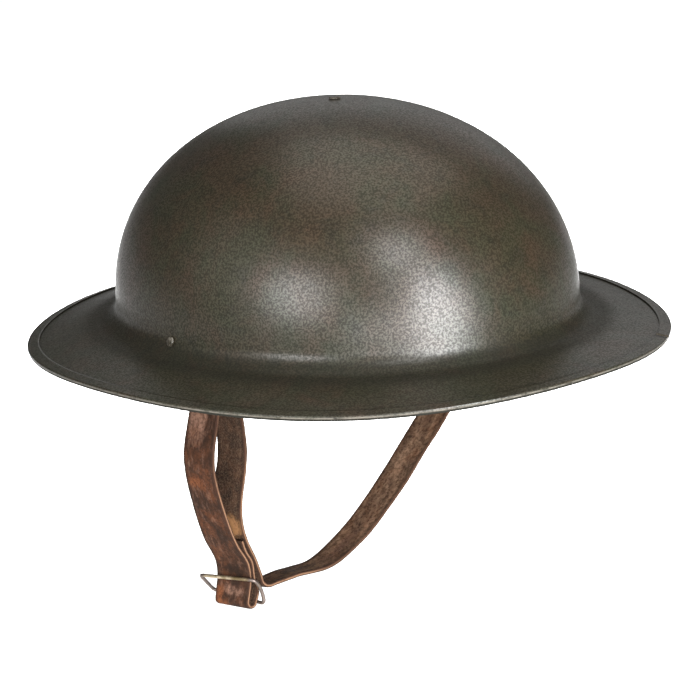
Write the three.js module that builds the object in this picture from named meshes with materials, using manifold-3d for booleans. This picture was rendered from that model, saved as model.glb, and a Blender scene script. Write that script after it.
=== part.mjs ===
// Brodie helmet: a shallow pressed-steel bowl with a broad brim, a folded rim, and a leather chin strap
// hung from two wire bails inside the bowl and drawn up by a wire slide.
// Millimetres, +Z up, -Y is the front. The origin is under the middle of the crown, where the head
// carries the helmet. The wearer's right is -X.
import * as THREE from 'three';
import { mergeVertices } from 'three/addons/utils/BufferGeometryUtils.js';
import Module from 'manifold-3d';

const wasm = await Module();
wasm.setup();

const DEG = Math.PI / 180;

// Shell
const BRIM_LENGTH = 316; // over the rim, front to back
const BRIM_WIDTH = 284; // over the rim, side to side
const BRIM_REACH = 40.5; // how far the brim stands out from the wall of the bowl
const BRIM_SLOPE = 12.8 * DEG;
const BRIM_LIFT = 2.1; // how much higher the front edge is than the middle, and the back edge lower
const BRIM_WAVE = 1.2; // the edge rises this much at front, back and sides and drops between them
const BRIM_BACK = 1.4; // how far the brim's middle is behind the bowl's
const BRIM_SQUARENESS = 2.075; // exponent of the edge's outline, 2 for an ellipse
const CROWN_HEIGHT = 108.2; // from the plane of the rim to the top of the crown
const CROWN_FULLNESS = 2.083; // exponent of the bowl's profile, 2 for an ellipse
const FILLET_RADIUS = 10; // between bowl and brim
const STEEL = 1.0;

// Rim channel
const RIM_SHEET = 0.4;
const RIM_DEPTH = 5.5;
const RIM_JOINT_ANGLE = -59 * DEG; // from +X towards +Y, seen from above
const RIM_JOINT_GAP = 0.5;
const RIM_FLAT_SHARE = 0.45; // how much of the folded edge's height is flat, the rest is rounded

// Rivets
const RIVET_SHANK_RADIUS = 1.3;
const CROWN_HEAD_RADIUS = 2.8;
const CROWN_HEAD_HEIGHT = 1.1;
const SIDE_HEAD_RADIUS = 2.3;
const SIDE_HEAD_HEIGHT = 1.0;
const CLENCH_RADIUS = 2.4; // flattened inner end of every rivet
const CLENCH_HEIGHT = 0.8;
const HEAD_EDGE_SHARE = 0.25; // height of a head at its edge
const SIDE_RIVET_TURN = 18 * DEG; // how far down the fillet the side rivets sit, square to it

// Bails
const BAIL_WIRE_RADIUS = 1.4;
const BAIL_LENGTH = 22; // from the lug's barrel to the bar that carries the strap
const BAIL_TILT = 48.5 * DEG; // how far the bail hangs inwards from straight down
const BAIL_CORNER = 3.2;
const LUG_SHEET = 1.2;
const LUG_WIDTH = 12;
const LUG_RISE = 11; // from the barrel's middle to the plate's top
const BARREL_DROP = 7.2; // from a side rivet's seat down to the barrel's middle
const BAIL_EASE = 1.8; // between the strap's edge and the wire

// Strap
const STRAP_WIDTH = 18.5;
const STRAP_THICK = 2.0;
const STRAP_DROP = 118.9; // from the plane of the rim to the bottom of the strap's loop
const STRAP_FOLD_RADIUS = 5; // middle of the leather where it goes over a bail

// Slide
const SLIDE_WIRE_RADIUS = 0.85;
const SLIDE_LENGTH = 32; // over the ends
const SLIDE_HEIGHT = 15.6; // over the two bars
const SLIDE_BOW = 1.8; // how far its front end curves towards the head
const SLIDE_CORNER = 1.9;
const SLIDE_TILT = 32 * DEG; // from straight down
const SLIDE_TWIST = 6 * DEG; // how much more its back end tilts, and its front end less
const SLIDE_YAW = 17 * DEG;
const SLIDE_RACK = 4 * DEG; // how far its far bar is pushed to the front, out of square
const SLIDE_WIND = 4 * DEG; // how much its near bar rises to the front against its far bar
const SLIDE_SHIFT = 2.4; // how far the slide hangs to the back of the strap

const GAP = 0.3; // between touching pieces

// Derived sizes
const MEAN_RADIUS = (BRIM_LENGTH + BRIM_WIDTH) / 4;
const WALL_RADIUS = MEAN_RADIUS - BRIM_REACH;
const RIM_Z = STEEL - CROWN_HEIGHT;
const FILLET_CENTRE = WALL_RADIUS + FILLET_RADIUS;
const WALL_Z = RIM_Z + (MEAN_RADIUS - FILLET_CENTRE) * Math.tan(BRIM_SLOPE)
  + FILLET_RADIUS / Math.cos(BRIM_SLOPE);
const WALL_X = BRIM_WIDTH / 2 - BRIM_REACH; // half width of the bowl's foot
const HOLE_RADIUS = RIVET_SHANK_RADIUS + GAP;
const PLY = STRAP_THICK + GAP; // from one ply of leather to the next

// How much of the brim's free form applies at a mean radius: none at the wall, all at the edge.
function brimShare(radius) {
  return THREE.MathUtils.clamp((radius - WALL_RADIUS) / BRIM_REACH, 0, 1);
}

// Point of a ring at an angle. The ring is {radius, base, scale, z}: its mean radius, the one that carries it
// before it is moved along its normal, and a scale below 1 on the bowl.
function ringPoint(ring, angle) {
  const share = brimShare(ring.radius);
  const exponent = 2 + (BRIM_SQUARENESS - 2) * share;
  const c = Math.cos(angle);
  const s = Math.sin(angle);
  const reach = (Math.abs(c) ** exponent + Math.abs(s) ** exponent) ** (-1 / exponent);
  const halfWidth = (BRIM_WIDTH / 2 - MEAN_RADIUS + ring.base) * ring.scale + ring.radius - ring.base;
  const halfLength = (BRIM_LENGTH / 2 - MEAN_RADIUS + ring.base) * ring.scale + ring.radius - ring.base;
  const z = ring.z + share * (BRIM_WAVE * Math.cos(4 * angle) - BRIM_LIFT * s);
  return new THREE.Vector3(halfWidth * reach * c, halfLength * reach * s + share * BRIM_BACK, z);
}

// Profile of the shell's outer face from a brim radius to the crown, as rings with their normals.
function outerProfile(edgeRadius) {
  const rings = [];
  const tangent = FILLET_CENTRE - FILLET_RADIUS * Math.sin(BRIM_SLOPE);
  const brimRows = 3;
  for (let i = 0; i < brimRows; i += 1) {
    const radius = THREE.MathUtils.lerp(edgeRadius, tangent, i / brimRows);
    const z = RIM_Z + (MEAN_RADIUS - radius) * Math.tan(BRIM_SLOPE);
    rings.push({ radius, base: radius, scale: 1, z, out: Math.sin(BRIM_SLOPE), up: Math.cos(BRIM_SLOPE) });
  }
  const filletRows = 4;
  for (let i = 0; i < filletRows; i += 1) {
    const turn = THREE.MathUtils.lerp(Math.PI / 2 - BRIM_SLOPE, 0, i / filletRows);
    const out = Math.cos(turn);
    const up = Math.sin(turn);
    const radius = FILLET_CENTRE - FILLET_RADIUS * out;
    rings.push({ radius, base: radius, scale: 1, z: WALL_Z - FILLET_RADIUS * up, out, up });
  }
  const rise = -WALL_Z + STEEL;
  const bowlRows = 14;
  for (let i = 0; i < bowlRows; i += 1) {
    const turn = (i / bowlRows) * Math.PI / 2;
    const scale = Math.cos(turn) ** (2 / CROWN_FULLNESS);
    const lift = Math.sin(turn) ** (2 / CROWN_FULLNESS);
    const slopeOut = scale ** (CROWN_FULLNESS - 1) / WALL_RADIUS;
    const slopeUp = lift ** (CROWN_FULLNESS - 1) / rise;
    const length = Math.hypot(slopeOut, slopeUp);
    rings.push({
      radius: WALL_RADIUS,
      base: WALL_RADIUS,
      scale,
      z: WALL_Z + rise * lift,
      out: slopeOut / length,
      up: slopeUp / length,
    });
  }
  return rings;
}

// The same rings moved along their normals, to the inside for a positive depth.
function offsetRing(ring, depth) {
  return { ...ring, radius: ring.radius - depth * ring.out, z: ring.z - depth * ring.up };
}

// Closed body from rows of points that run from one pole to the other.
function poleBody(rows, firstPole, lastPole) {
  const count = rows[0].length;
  const points = [firstPole, ...rows.flat(), lastPole];
  const at = (row, i) => 1 + row * count + (i % count);
  const faces = [];
  for (let i = 0; i < count; i += 1) {
    faces.push(0, at(0, i), at(0, i + 1));
    faces.push(points.length - 1, at(rows.length - 1, i + 1), at(rows.length - 1, i));
  }
  for (let row = 0; row + 1 < rows.length; row += 1) {
    for (let i = 0; i < count; i += 1) {
      faces.push(at(row, i), at(row + 1, i), at(row + 1, i + 1));
      faces.push(at(row, i), at(row + 1, i + 1), at(row, i + 1));
    }
  }
  return body(points, faces);
}

// Closed body through equal sections, either as a ring or with its two ends capped.
function loft(sections, isRing) {
  const count = sections[0].length;
  const points = sections.flat();
  const rows = isRing ? sections.length : sections.length - 1;
  const at = (row, i) => (row % sections.length) * count + (i % count);
  const faces = [];
  for (let row = 0; row < rows; row += 1) {
    for (let i = 0; i < count; i += 1) {
      faces.push(at(row, i), at(row, i + 1), at(row + 1, i + 1));
      faces.push(at(row, i), at(row + 1, i + 1), at(row + 1, i));
    }
  }
  if (!isRing) {
    capFaces(sections[0]).forEach(([a, b, c]) => faces.push(a, c, b));
    const last = (sections.length - 1) * count;
    capFaces(sections[sections.length - 1]).forEach(([a, b, c]) => faces.push(last + a, last + b, last + c));
  }
  return body(points, faces);
}

// Triangles over one flat section, turned the way its corners run.
function capFaces(section) {
  const normal = new THREE.Vector3();
  section.forEach((point, i) => normal.add(point.clone().cross(section[(i + 1) % section.length])));
  normal.normalize();
  const across = section[1].clone().sub(section[0]).normalize();
  const up = normal.clone().cross(across);
  const flat = section.map((point) => new THREE.Vector2(point.dot(across), point.dot(up)));
  return THREE.ShapeUtils.triangulateShape(flat, []);
}

// Geometry from points and triangles, with its faces turned outwards.
function body(points, faces) {
  const geometry = new THREE.BufferGeometry();
  geometry.setAttribute('position', new THREE.Float32BufferAttribute(points.flatMap((p) => p.toArray()), 3));
  let volume = 0;
  for (let i = 0; i < faces.length; i += 3) {
    const [a, b, c] = faces.slice(i, i + 3).map((index) => points[index]);
    volume += a.dot(b.clone().cross(c));
  }
  const turned = volume > 0 ? faces : faces.slice().reverse();
  geometry.setIndex(turned);
  geometry.computeVertexNormals();
  return geometry;
}

// Solid for cutting and joining, from a closed geometry.
function solid(geometry) {
  const bare = geometry.clone();
  bare.deleteAttribute('normal');
  bare.deleteAttribute('uv');
  const merged = mergeVertices(bare, 1e-4);
  return new wasm.Manifold(new wasm.Mesh({
    numProp: 3,
    vertProperties: new Float32Array(merged.attributes.position.array),
    triVerts: new Uint32Array(merged.index.array),
  }));
}

function geometryOf(manifold) {
  const mesh = manifold.getMesh();
  const geometry = new THREE.BufferGeometry();
  geometry.setAttribute('position', new THREE.BufferAttribute(mesh.vertProperties, 3));
  geometry.setIndex(new THREE.BufferAttribute(mesh.triVerts, 1));
  geometry.computeVertexNormals();
  return geometry;
}

function cut(geometry, tools) {
  return geometryOf(tools.reduce((rest, tool) => rest.subtract(solid(tool)), solid(geometry)));
}

function join(...geometries) {
  return geometryOf(geometries.map(solid).reduce((sum, next) => sum.add(next)));
}

// Round cutter along a direction, long enough to pass a wall on both sides.
function drill(centre, direction, reach) {
  const geometry = new THREE.CylinderGeometry(HOLE_RADIUS, HOLE_RADIUS, 2 * reach, 16);
  const turn = new THREE.Quaternion().setFromUnitVectors(new THREE.Vector3(0, 1, 0), direction);
  return geometry.applyQuaternion(turn).translate(centre.x, centre.y, centre.z);
}

// Wire along a closed path; the reference stays across the path everywhere.
const WIRE_SIDES = 8;
function wireRing(path, radius, reference) {
  const sections = path.map((point, i) => {
    const before = path[(i + path.length - 1) % path.length];
    const after = path[(i + 1) % path.length];
    const along = after.clone().sub(before).normalize();
    const side = reference.clone().cross(along).normalize();
    const up = along.clone().cross(side);
    return Array.from({ length: WIRE_SIDES }, (_, k) => {
      const turn = (k + 0.5) * 2 * Math.PI / WIRE_SIDES;
      return point.clone()
        .addScaledVector(side, radius * Math.cos(turn))
        .addScaledVector(up, radius * Math.sin(turn));
    });
  });
  return loft(sections, true);
}

// Rectangle with round corners as plane coordinates, evenly stepped on its straight sides.
function roundedPath(halfLength, halfHeight, corner, straightSteps) {
  const centres = [[1, 1], [-1, 1], [-1, -1], [1, -1]];
  const points = [];
  centres.forEach(([sx, sy], quarter) => {
    const x = sx * (halfLength - corner);
    const y = sy * (halfHeight - corner);
    for (let i = 0; i <= 3; i += 1) {
      const turn = (quarter + i / 3) * Math.PI / 2;
      points.push([x + corner * Math.cos(turn), y + corner * Math.sin(turn)]);
    }
    const [nextX, nextY] = centres[(quarter + 1) % 4];
    const start = points[points.length - 1];
    const turn = (quarter + 1) * Math.PI / 2;
    const end = [
      nextX * (halfLength - corner) + corner * Math.cos(turn),
      nextY * (halfHeight - corner) + corner * Math.sin(turn),
    ];
    for (let i = 1; i < straightSteps; i += 1) {
      const share = i / straightSteps;
      points.push([0, 1].map((axis) => THREE.MathUtils.lerp(start[axis], end[axis], share)));
    }
  });
  return points;
}

// Rivet with a domed head above a grip, and a flat clenched end below it. Its axis is +Z, and the grip
// runs from -grip to 0.
function rivet(headRadius, headHeight, grip) {
  const profile = [new THREE.Vector2(0, GAP + headHeight)];
  for (let i = 1; i <= 4; i += 1) {
    const turn = (i / 4) * Math.PI / 2;
    const rise = THREE.MathUtils.lerp(HEAD_EDGE_SHARE, 1, Math.cos(turn));
    profile.push(new THREE.Vector2(headRadius * Math.sin(turn), GAP + headHeight * rise));
  }
  profile.push(new THREE.Vector2(headRadius, GAP));
  profile.push(new THREE.Vector2(RIVET_SHANK_RADIUS, GAP));
  profile.push(new THREE.Vector2(RIVET_SHANK_RADIUS, -grip - GAP));
  profile.push(new THREE.Vector2(CLENCH_RADIUS, -grip - GAP));
  profile.push(new THREE.Vector2(CLENCH_RADIUS, -grip - GAP - CLENCH_HEIGHT));
  profile.push(new THREE.Vector2(0, -grip - GAP - CLENCH_HEIGHT));
  return new THREE.LatheGeometry(profile.reverse(), 16).rotateX(Math.PI / 2);
}

// Shell and rim
const SEGMENTS = 72;
const angles = Array.from({ length: SEGMENTS }, (_, i) => (i / SEGMENTS) * 2 * Math.PI);
const profile = outerProfile(MEAN_RADIUS - RIM_SHEET - GAP);
const outerRows = profile.map((ring) => angles.map((angle) => ringPoint(ring, angle)));
const innerRows = profile.map((ring) => angles.map((angle) => ringPoint(offsetRing(ring, STEEL), angle)));
const fullShell = poleBody(
  [...outerRows.slice().reverse(), ...innerRows],
  new THREE.Vector3(0, 0, STEEL),
  new THREE.Vector3(0, 0, 0),
);

// The side rivets sit square on the fillet. A head's edge meets the hollow of the fillet first.
const rivetOut = Math.cos(SIDE_RIVET_TURN);
const rivetUp = Math.sin(SIDE_RIVET_TURN);
const headSeat = FILLET_RADIUS - Math.sqrt(FILLET_RADIUS ** 2 - SIDE_HEAD_RADIUS ** 2);
const rivetX = WALL_X + FILLET_RADIUS * (1 - rivetOut);
const rivetZ = WALL_Z - FILLET_RADIUS * rivetUp;

// Point and direction on one side, from those on the wearer's left.
function onSide(side, x, z) {
  return new THREE.Vector3(side * x, 0, z);
}

const shellGeometry = cut(fullShell, [
  drill(new THREE.Vector3(0, 0, 0), new THREE.Vector3(0, 0, 1), 4 * STEEL),
  drill(onSide(-1, rivetX, rivetZ), onSide(-1, rivetOut, rivetUp), 4 * STEEL),
  drill(onSide(1, rivetX, rivetZ), onSide(1, rivetOut, rivetUp), 4 * STEEL),
]);

// Channel section as [radius, height] from the rim's outer face inwards, clear of the sheet that it grips.
function rimSection(angle) {
  const outer = STEEL / 2 + GAP + RIM_SHEET;
  const inner = STEEL / 2 + GAP;
  const flat = outer * RIM_FLAT_SHARE;
  const corner = (RIM_SHEET + GAP) / 2;
  const section = [
    [0, -flat], [0, flat], [corner, outer], [RIM_DEPTH, outer], [RIM_DEPTH, inner],
    [RIM_SHEET, inner], [RIM_SHEET, -inner], [RIM_DEPTH, -inner], [RIM_DEPTH, -outer], [corner, -outer],
  ];
  return section.map(([depth, height]) => {
    const radius = MEAN_RADIUS - depth;
    const middle = RIM_Z + depth * Math.tan(BRIM_SLOPE) - STEEL / 2 / Math.cos(BRIM_SLOPE);
    const out = height * Math.sin(BRIM_SLOPE);
    const ring = { radius: radius + out, base: radius, scale: 1, z: middle + height * Math.cos(BRIM_SLOPE) };
    return ringPoint(ring, angle);
  });
}
const jointTurn = RIM_JOINT_GAP / MEAN_RADIUS;
const rimAngles = [RIM_JOINT_ANGLE + jointTurn / 2];
const firstStep = Math.ceil(rimAngles[0] / (2 * Math.PI / SEGMENTS) + 0.25);
for (let i = 0; i < SEGMENTS; i += 1) {
  const angle = (firstStep + i) * 2 * Math.PI / SEGMENTS;
  if (angle < rimAngles[0] + 2 * Math.PI - jointTurn * 2) rimAngles.push(angle);
}
rimAngles.push(RIM_JOINT_ANGLE - jointTurn / 2 + 2 * Math.PI);
const rimGeometry = loft(rimAngles.map(rimSection), false);

// Bail, modelled on the wearer's right: a wire loop held in the barrel of a lug that lies on the wall.
const lugHalf = LUG_WIDTH / 2;
const wallSagitta = WALL_X * (1 - Math.sqrt(1 - (lugHalf / (BRIM_LENGTH / 2 - BRIM_REACH)) ** 2))
  + WALL_X * (1 - Math.cos(Math.PI / SEGMENTS));
const barrelZ = rivetZ - BARREL_DROP;
const wallLift = Math.max(0, barrelZ + LUG_RISE - WALL_Z) / (STEEL - WALL_Z);
const wallLean = WALL_X * (1 - (1 - wallLift ** CROWN_FULLNESS) ** (1 / CROWN_FULLNESS));
const lugX = -(WALL_X - STEEL - GAP - wallSagitta - wallLean); // the plate's face on the wall
const barrelRadius = BAIL_WIRE_RADIUS + LUG_SHEET;
const barrelX = lugX + LUG_SHEET / 2 + barrelRadius;
const barX = barrelX + BAIL_LENGTH * Math.sin(BAIL_TILT);
const barZ = barrelZ - BAIL_LENGTH * Math.cos(BAIL_TILT);
const bailDown = new THREE.Vector3(barX - barrelX, 0, barZ - barrelZ);
const bailHalfHeight = bailDown.length() / 2;
bailDown.normalize();
const bailMiddle = new THREE.Vector3((barrelX + barX) / 2, 0, (barrelZ + barZ) / 2);
const bailHalfWidth = STRAP_WIDTH / 2 + BAIL_EASE + BAIL_WIRE_RADIUS;
const bailPath = roundedPath(bailHalfWidth, bailHalfHeight, BAIL_CORNER, 2)
  .map(([y, down]) => bailMiddle.clone().addScaledVector(bailDown, down).add(new THREE.Vector3(0, y, 0)));
const bailReference = new THREE.Vector3(0, 1, 0).cross(bailDown);

function plate(x0, x1, halfY, z0, z1) {
  return new THREE.BoxGeometry(x1 - x0, 2 * halfY, z1 - z0).translate((x0 + x1) / 2, 0, (z0 + z1) / 2);
}

// Where the rivet's axis crosses the middle of the plate.
const plateX = lugX + LUG_SHEET / 2;
const plateZ = rivetZ - (rivetX + plateX) * Math.tan(SIDE_RIVET_TURN);
const bailGeometry = cut(
  join(
    wireRing(bailPath, BAIL_WIRE_RADIUS, bailReference),
    new THREE.CylinderGeometry(barrelRadius, barrelRadius, LUG_WIDTH, 16).translate(barrelX, 0, barrelZ),
    plate(lugX, lugX + LUG_SHEET, lugHalf, barrelZ, barrelZ + LUG_RISE),
  ),
  [drill(onSide(-1, -plateX, plateZ), onSide(-1, rivetOut, rivetUp), 1.5 * LUG_SHEET)],
);

// Strap route in the plane through both bails. Each row is a place on the middle of the leather:
// across as a share of the bail bar's distance, down as a share of the drop, plies to add towards the
// wearer's left, and the strap's yaw and roll in degrees. The loop's row is the middle of its bend.
const foldZ = barZ + BAIL_WIRE_RADIUS + GAP + STRAP_THICK / 2 - STRAP_FOLD_RADIUS;
const BAR_REACH = -barX;
const ROUTE = {
  end: [
    [0.817, 0.330, 1, 0, 0],
    [0.868, 0.262, 1, 0, 0],
    [0.915, 0.192, 1, 0, 0],
    [0.968, 0.128, 1, 0, 0],
  ],
  chin: [
    [0.944, 0.112, 0, 0, 0],
    [0.906, 0.180, 0, 0, 0],
    [0.862, 0.250, 0, 0, 0],
    [0.796, 0.345, 0, 0, 0],
    [0.688, 0.442, 0, 0, 0],
    [0.571, 0.521, 0, 0, 0],
    [0.477, 0.579, 0, 0, 0.5],
    [0.358, 0.658, 0, 0, 1],
    [0.255, 0.720, 0, 0, 1.5],
    [0.154, 0.776, 0, 0, 2.5],
    [0.012, 0.847, 0, 0, 3.5],
    [-0.144, 0.904, 0, 0, 5],
    [-0.247, 0.933, 0, 0, 6.5],
    [-0.329, 0.9445, 0, 0, 7.5],
    [-0.447, 0.942, 0, 1, 8],
    [-0.547, 0.937, 0, 2, 9],
    [-0.639, 0.939, 0, 4, 10],
    [-0.730, 0.940, 0, 8, 10],
    [-0.795, 0.937, 0, 12, 7],
    [-0.838, 0.920, 0, 16, 3],
    [-0.856, 0.895, 0, 17, 0],
  ],
  innerPly: [
    [-0.890, 0.878, 1, 17, 0],
    [-0.923, 0.804, 1, 16, 0],
    [-0.979, 0.708, 1, 14, 0],
    [-0.999, 0.625, 1, 12, 0],
    [-0.983, 0.544, 1, 8, 0],
    [-0.938, 0.427, 1, 5, 0],
    [-0.925, 0.347, 1, 5, 0],
    [-0.938, 0.210, 1, 4, 0],
    [-0.965, 0.120, 1, 2, 0],
  ],
  outerPly: [
    [-1.034, 0.130, -1, 3, 0],
    [-1.051, 0.195, -1, 6, 0],
    [-1.103, 0.336, -1, 8, 0],
    [-1.106, 0.417, -1, 8, 0],
    [-1.058, 0.577, -1, 11, 0],
    [-0.993, 0.716, -1, 14, 0],
    [-0.922, 0.811, -1, 16, 0],
    [-0.912, 0.879, -1, 17, 0],
    [-0.930, 0.940, -1, 17, 0],
  ],
  loop: [-0.939, 1, 0, 17, 0],
  tail: [
    [-0.921, 0.935, 1, 17, 0],
    [-0.912, 0.880, 0, 17, 0],
    [-0.920, 0.811, 0, 16, 0],
    [-0.958, 0.759, 0, 15, 0],
    [-0.979, 0.712, 0, 14, 0],
  ],
};

function place([across, down, plies, yaw, roll]) {
  return {
    x: across * BAR_REACH + plies * PLY,
    z: RIM_Z - down * STRAP_DROP,
    yaw: yaw * DEG,
    roll: roll * DEG,
  };
}

// Places round a bend, from one turn to another measured from +X towards +Z.
function bend(x, z, radius, from, to, steps, yaw) {
  return Array.from({ length: steps + 1 }, (_, i) => {
    const turn = THREE.MathUtils.lerp(from, to, i / steps);
    return { x: x + radius * Math.cos(turn), z: z + radius * Math.sin(turn), yaw, roll: 0 };
  });
}

const loop = place(ROUTE.loop);
const loopZ = loop.z + STRAP_THICK / 2 + PLY;
const route = [
  ...ROUTE.end.map(place),
  ...bend(BAR_REACH, foldZ, STRAP_FOLD_RADIUS, 0, Math.PI, 6, 0),
  ...ROUTE.chin.map(place),
  ...ROUTE.innerPly.map(place),
  ...bend(-BAR_REACH, foldZ, STRAP_FOLD_RADIUS, 0, Math.PI, 6, 2 * DEG),
  ...ROUTE.outerPly.map(place),
  ...bend(loop.x, loopZ, PLY, Math.PI, 2 * Math.PI, 6, loop.yaw),
  ...ROUTE.tail.map(place),
];

// Smooth stations along the route, each with its section across the strap.
function strapSections(places) {
  const middle = new THREE.CatmullRomCurve3(places.map(({ x, z }) => new THREE.Vector3(x, 0, z)));
  const steps = (places.length - 1) * 2;
  return Array.from({ length: steps + 1 }, (_, i) => {
    const share = i / steps;
    const centre = middle.getPoint(share);
    const along = middle.getTangent(share);
    const index = Math.min(Math.floor(share * (places.length - 1)), places.length - 2);
    const local = share * (places.length - 1) - index;
    const yaw = THREE.MathUtils.lerp(places[index].yaw, places[index + 1].yaw, local);
    const roll = THREE.MathUtils.lerp(places[index].roll, places[index + 1].roll, local);
    const across = new THREE.Vector3(
      Math.sin(yaw),
      -Math.cos(yaw) * Math.cos(roll),
      Math.sin(roll),
    ).normalize();
    const normal = new THREE.Vector3(along.z, 0, -along.x).normalize();
    const corners = [[1, 1], [-1, 1], [-1, -1], [1, -1]];
    return corners.map(([a, b]) => centre.clone()
      .addScaledVector(across, a * STRAP_WIDTH / 2)
      .addScaledVector(normal, b * STRAP_THICK / 2));
  });
}

// Rivet through the strap's end and the ply beside it.
const gripA = place(ROUTE.end[1]);
const gripB = place(ROUTE.chin[2]);
const gripOut = new THREE.Vector3(gripA.x - gripB.x, 0, gripA.z - gripB.z);
const gripSpan = gripOut.length();
gripOut.normalize();
const gripFace = new THREE.Vector3(gripA.x, 0, gripA.z).addScaledVector(gripOut, STRAP_THICK / 2);
const gripMiddle = gripFace.clone().addScaledVector(gripOut, -(gripSpan + STRAP_THICK) / 2);
const strapGeometry = cut(
  loft(strapSections(route), false),
  [drill(gripMiddle, gripOut, 4 * STRAP_THICK)],
);

// Slide: its near bar lies on the outer ply, its far bar is behind the loop.
const slideAcross = new THREE.Vector3(Math.sin(SLIDE_YAW), -Math.cos(SLIDE_YAW), 0);
function slideDown(tilt) {
  const down = new THREE.Vector3(
    Math.sin(tilt) * Math.cos(SLIDE_YAW),
    Math.sin(tilt) * Math.sin(SLIDE_YAW),
    -Math.cos(tilt),
  );
  return down.addScaledVector(slideAcross, Math.sin(SLIDE_RACK)).normalize();
}
const slideOut = slideDown(SLIDE_TILT).cross(slideAcross).normalize();
const nearPly = place(ROUTE.outerPly[7]);
const slideHalfHeight = SLIDE_HEIGHT / 2 - SLIDE_WIRE_RADIUS;
const slideHalfLength = SLIDE_LENGTH / 2 - SLIDE_WIRE_RADIUS;
const nearBar = new THREE.Vector3(nearPly.x - STRAP_THICK / 2 - GAP - SLIDE_WIRE_RADIUS, 0, nearPly.z)
  .addScaledVector(slideAcross, -SLIDE_SHIFT);
const slidePath = roundedPath(slideHalfLength, slideHalfHeight, SLIDE_CORNER, 4).map(([across, down]) => {
  const end = Math.max(0, across - STRAP_WIDTH / 2) / (slideHalfLength - STRAP_WIDTH / 2);
  const bow = SLIDE_BOW * end * (1 - (down / slideHalfHeight) ** 2);
  const tilt = SLIDE_TILT - SLIDE_TWIST * across / slideHalfLength;
  const rise = across * Math.sin(SLIDE_WIND) * (1 - down / slideHalfHeight) / 2;
  return nearBar.clone()
    .addScaledVector(slideAcross, across)
    .addScaledVector(slideDown(tilt), down + slideHalfHeight)
    .addScaledVector(slideOut, -bow)
    .add(new THREE.Vector3(0, 0, rise));
});
const slideGeometry = wireRing(slidePath, SLIDE_WIRE_RADIUS, slideOut);

// Scene graph
const paint = new THREE.MeshStandardMaterial({ color: 0x3d372d, roughness: 0.5, metalness: 0.3 });
const rimPaint = new THREE.MeshStandardMaterial({ color: 0x393529, roughness: 0.5, metalness: 0.3 });
const rivetPaint = new THREE.MeshStandardMaterial({ color: 0x4a453a, roughness: 0.5, metalness: 0.5 });
const leather = new THREE.MeshStandardMaterial({ color: 0x5e4236, roughness: 0.6, metalness: 0 });
const brass = new THREE.MeshStandardMaterial({ color: 0x8f7a55, roughness: 0.4, metalness: 0.9 });
const wire = new THREE.MeshStandardMaterial({ color: 0x4a463e, roughness: 0.5, metalness: 0.8 });

const helmet = new THREE.Group();

function add(name, geometry, material) {
  const mesh = new THREE.Mesh(geometry, material);
  mesh.name = name;
  helmet.add(mesh);
  return mesh;
}

add('shell', shellGeometry, paint);
add('rim', rimGeometry, rimPaint);
add('chin_strap', strapGeometry, leather);
add('buckle', slideGeometry, brass);

const crownRivet = add('crown_rivet', rivet(CROWN_HEAD_RADIUS, CROWN_HEAD_HEIGHT, STEEL), rivetPaint);
crownRivet.position.z = STEEL;

const seatX = rivetX + headSeat * rivetOut;
const seatZ = rivetZ + headSeat * rivetUp;
const sideGrip = (seatX + lugX + LUG_SHEET) / rivetOut + CLENCH_RADIUS * Math.tan(SIDE_RIVET_TURN);
const sideRivetGeometry = rivet(SIDE_HEAD_RADIUS, SIDE_HEAD_HEIGHT, sideGrip);
[['right', -1], ['left', 1]].forEach(([name, side]) => {
  const sideRivet = add(`side_rivet_${name}`, sideRivetGeometry, rivetPaint);
  sideRivet.position.copy(onSide(side, seatX, seatZ));
  sideRivet.quaternion.setFromUnitVectors(new THREE.Vector3(0, 0, 1), onSide(side, rivetOut, rivetUp));
  const bail = add(`bail_${name}`, bailGeometry, wire);
  if (side > 0) bail.rotation.z = Math.PI;
});

const strapRivetGeometry = rivet(SIDE_HEAD_RADIUS, SIDE_HEAD_HEIGHT, gripSpan + STRAP_THICK);
const strapRivet = add('strap_rivet', strapRivetGeometry, brass);
strapRivet.position.copy(gripFace);
strapRivet.quaternion.setFromUnitVectors(new THREE.Vector3(0, 0, 1), gripOut);

export default helmet;
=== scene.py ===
import logging
import math
from dataclasses import dataclass, field
from enum import Enum

import bpy
import numpy as np
from mathutils import Matrix, Vector


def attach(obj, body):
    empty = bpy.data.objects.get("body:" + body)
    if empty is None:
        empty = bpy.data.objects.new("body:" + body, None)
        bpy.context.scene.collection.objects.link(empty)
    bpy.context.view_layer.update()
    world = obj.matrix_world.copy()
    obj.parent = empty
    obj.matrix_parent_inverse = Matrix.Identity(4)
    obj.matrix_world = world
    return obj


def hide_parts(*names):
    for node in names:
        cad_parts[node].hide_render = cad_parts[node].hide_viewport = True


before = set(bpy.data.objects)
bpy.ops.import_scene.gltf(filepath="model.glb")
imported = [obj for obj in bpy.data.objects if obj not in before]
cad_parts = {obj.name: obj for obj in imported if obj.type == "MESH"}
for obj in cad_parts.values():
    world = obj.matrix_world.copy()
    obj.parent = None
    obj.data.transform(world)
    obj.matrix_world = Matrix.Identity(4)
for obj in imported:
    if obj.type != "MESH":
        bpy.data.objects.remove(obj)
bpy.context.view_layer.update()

MM = 0.001
TURN = 2.0 * math.pi
LOG = logging.getLogger("helmet")

Array = np.ndarray
Colour = tuple[float, float, float]
Point = tuple[float, float, float]
Span = tuple[float, float]
Socket = bpy.types.NodeSocket


class Side(Enum):
    """The wearer's sides, with the sign of X on each."""

    RIGHT = -1
    LEFT = 1


class Wear(Enum):
    """Kinds of wear on the strap, each named as its spots and as the value that the mesh carries."""

    ORANGE = "orange"
    PALE = "pale"
    STAIN = "stain"
    RUB = "rub"


# ---- surfaces


def unit(vectors: Array) -> Array:
    """Vectors divided by their own length."""
    return vectors / np.linalg.norm(vectors, axis=-1, keepdims=True)


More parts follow.
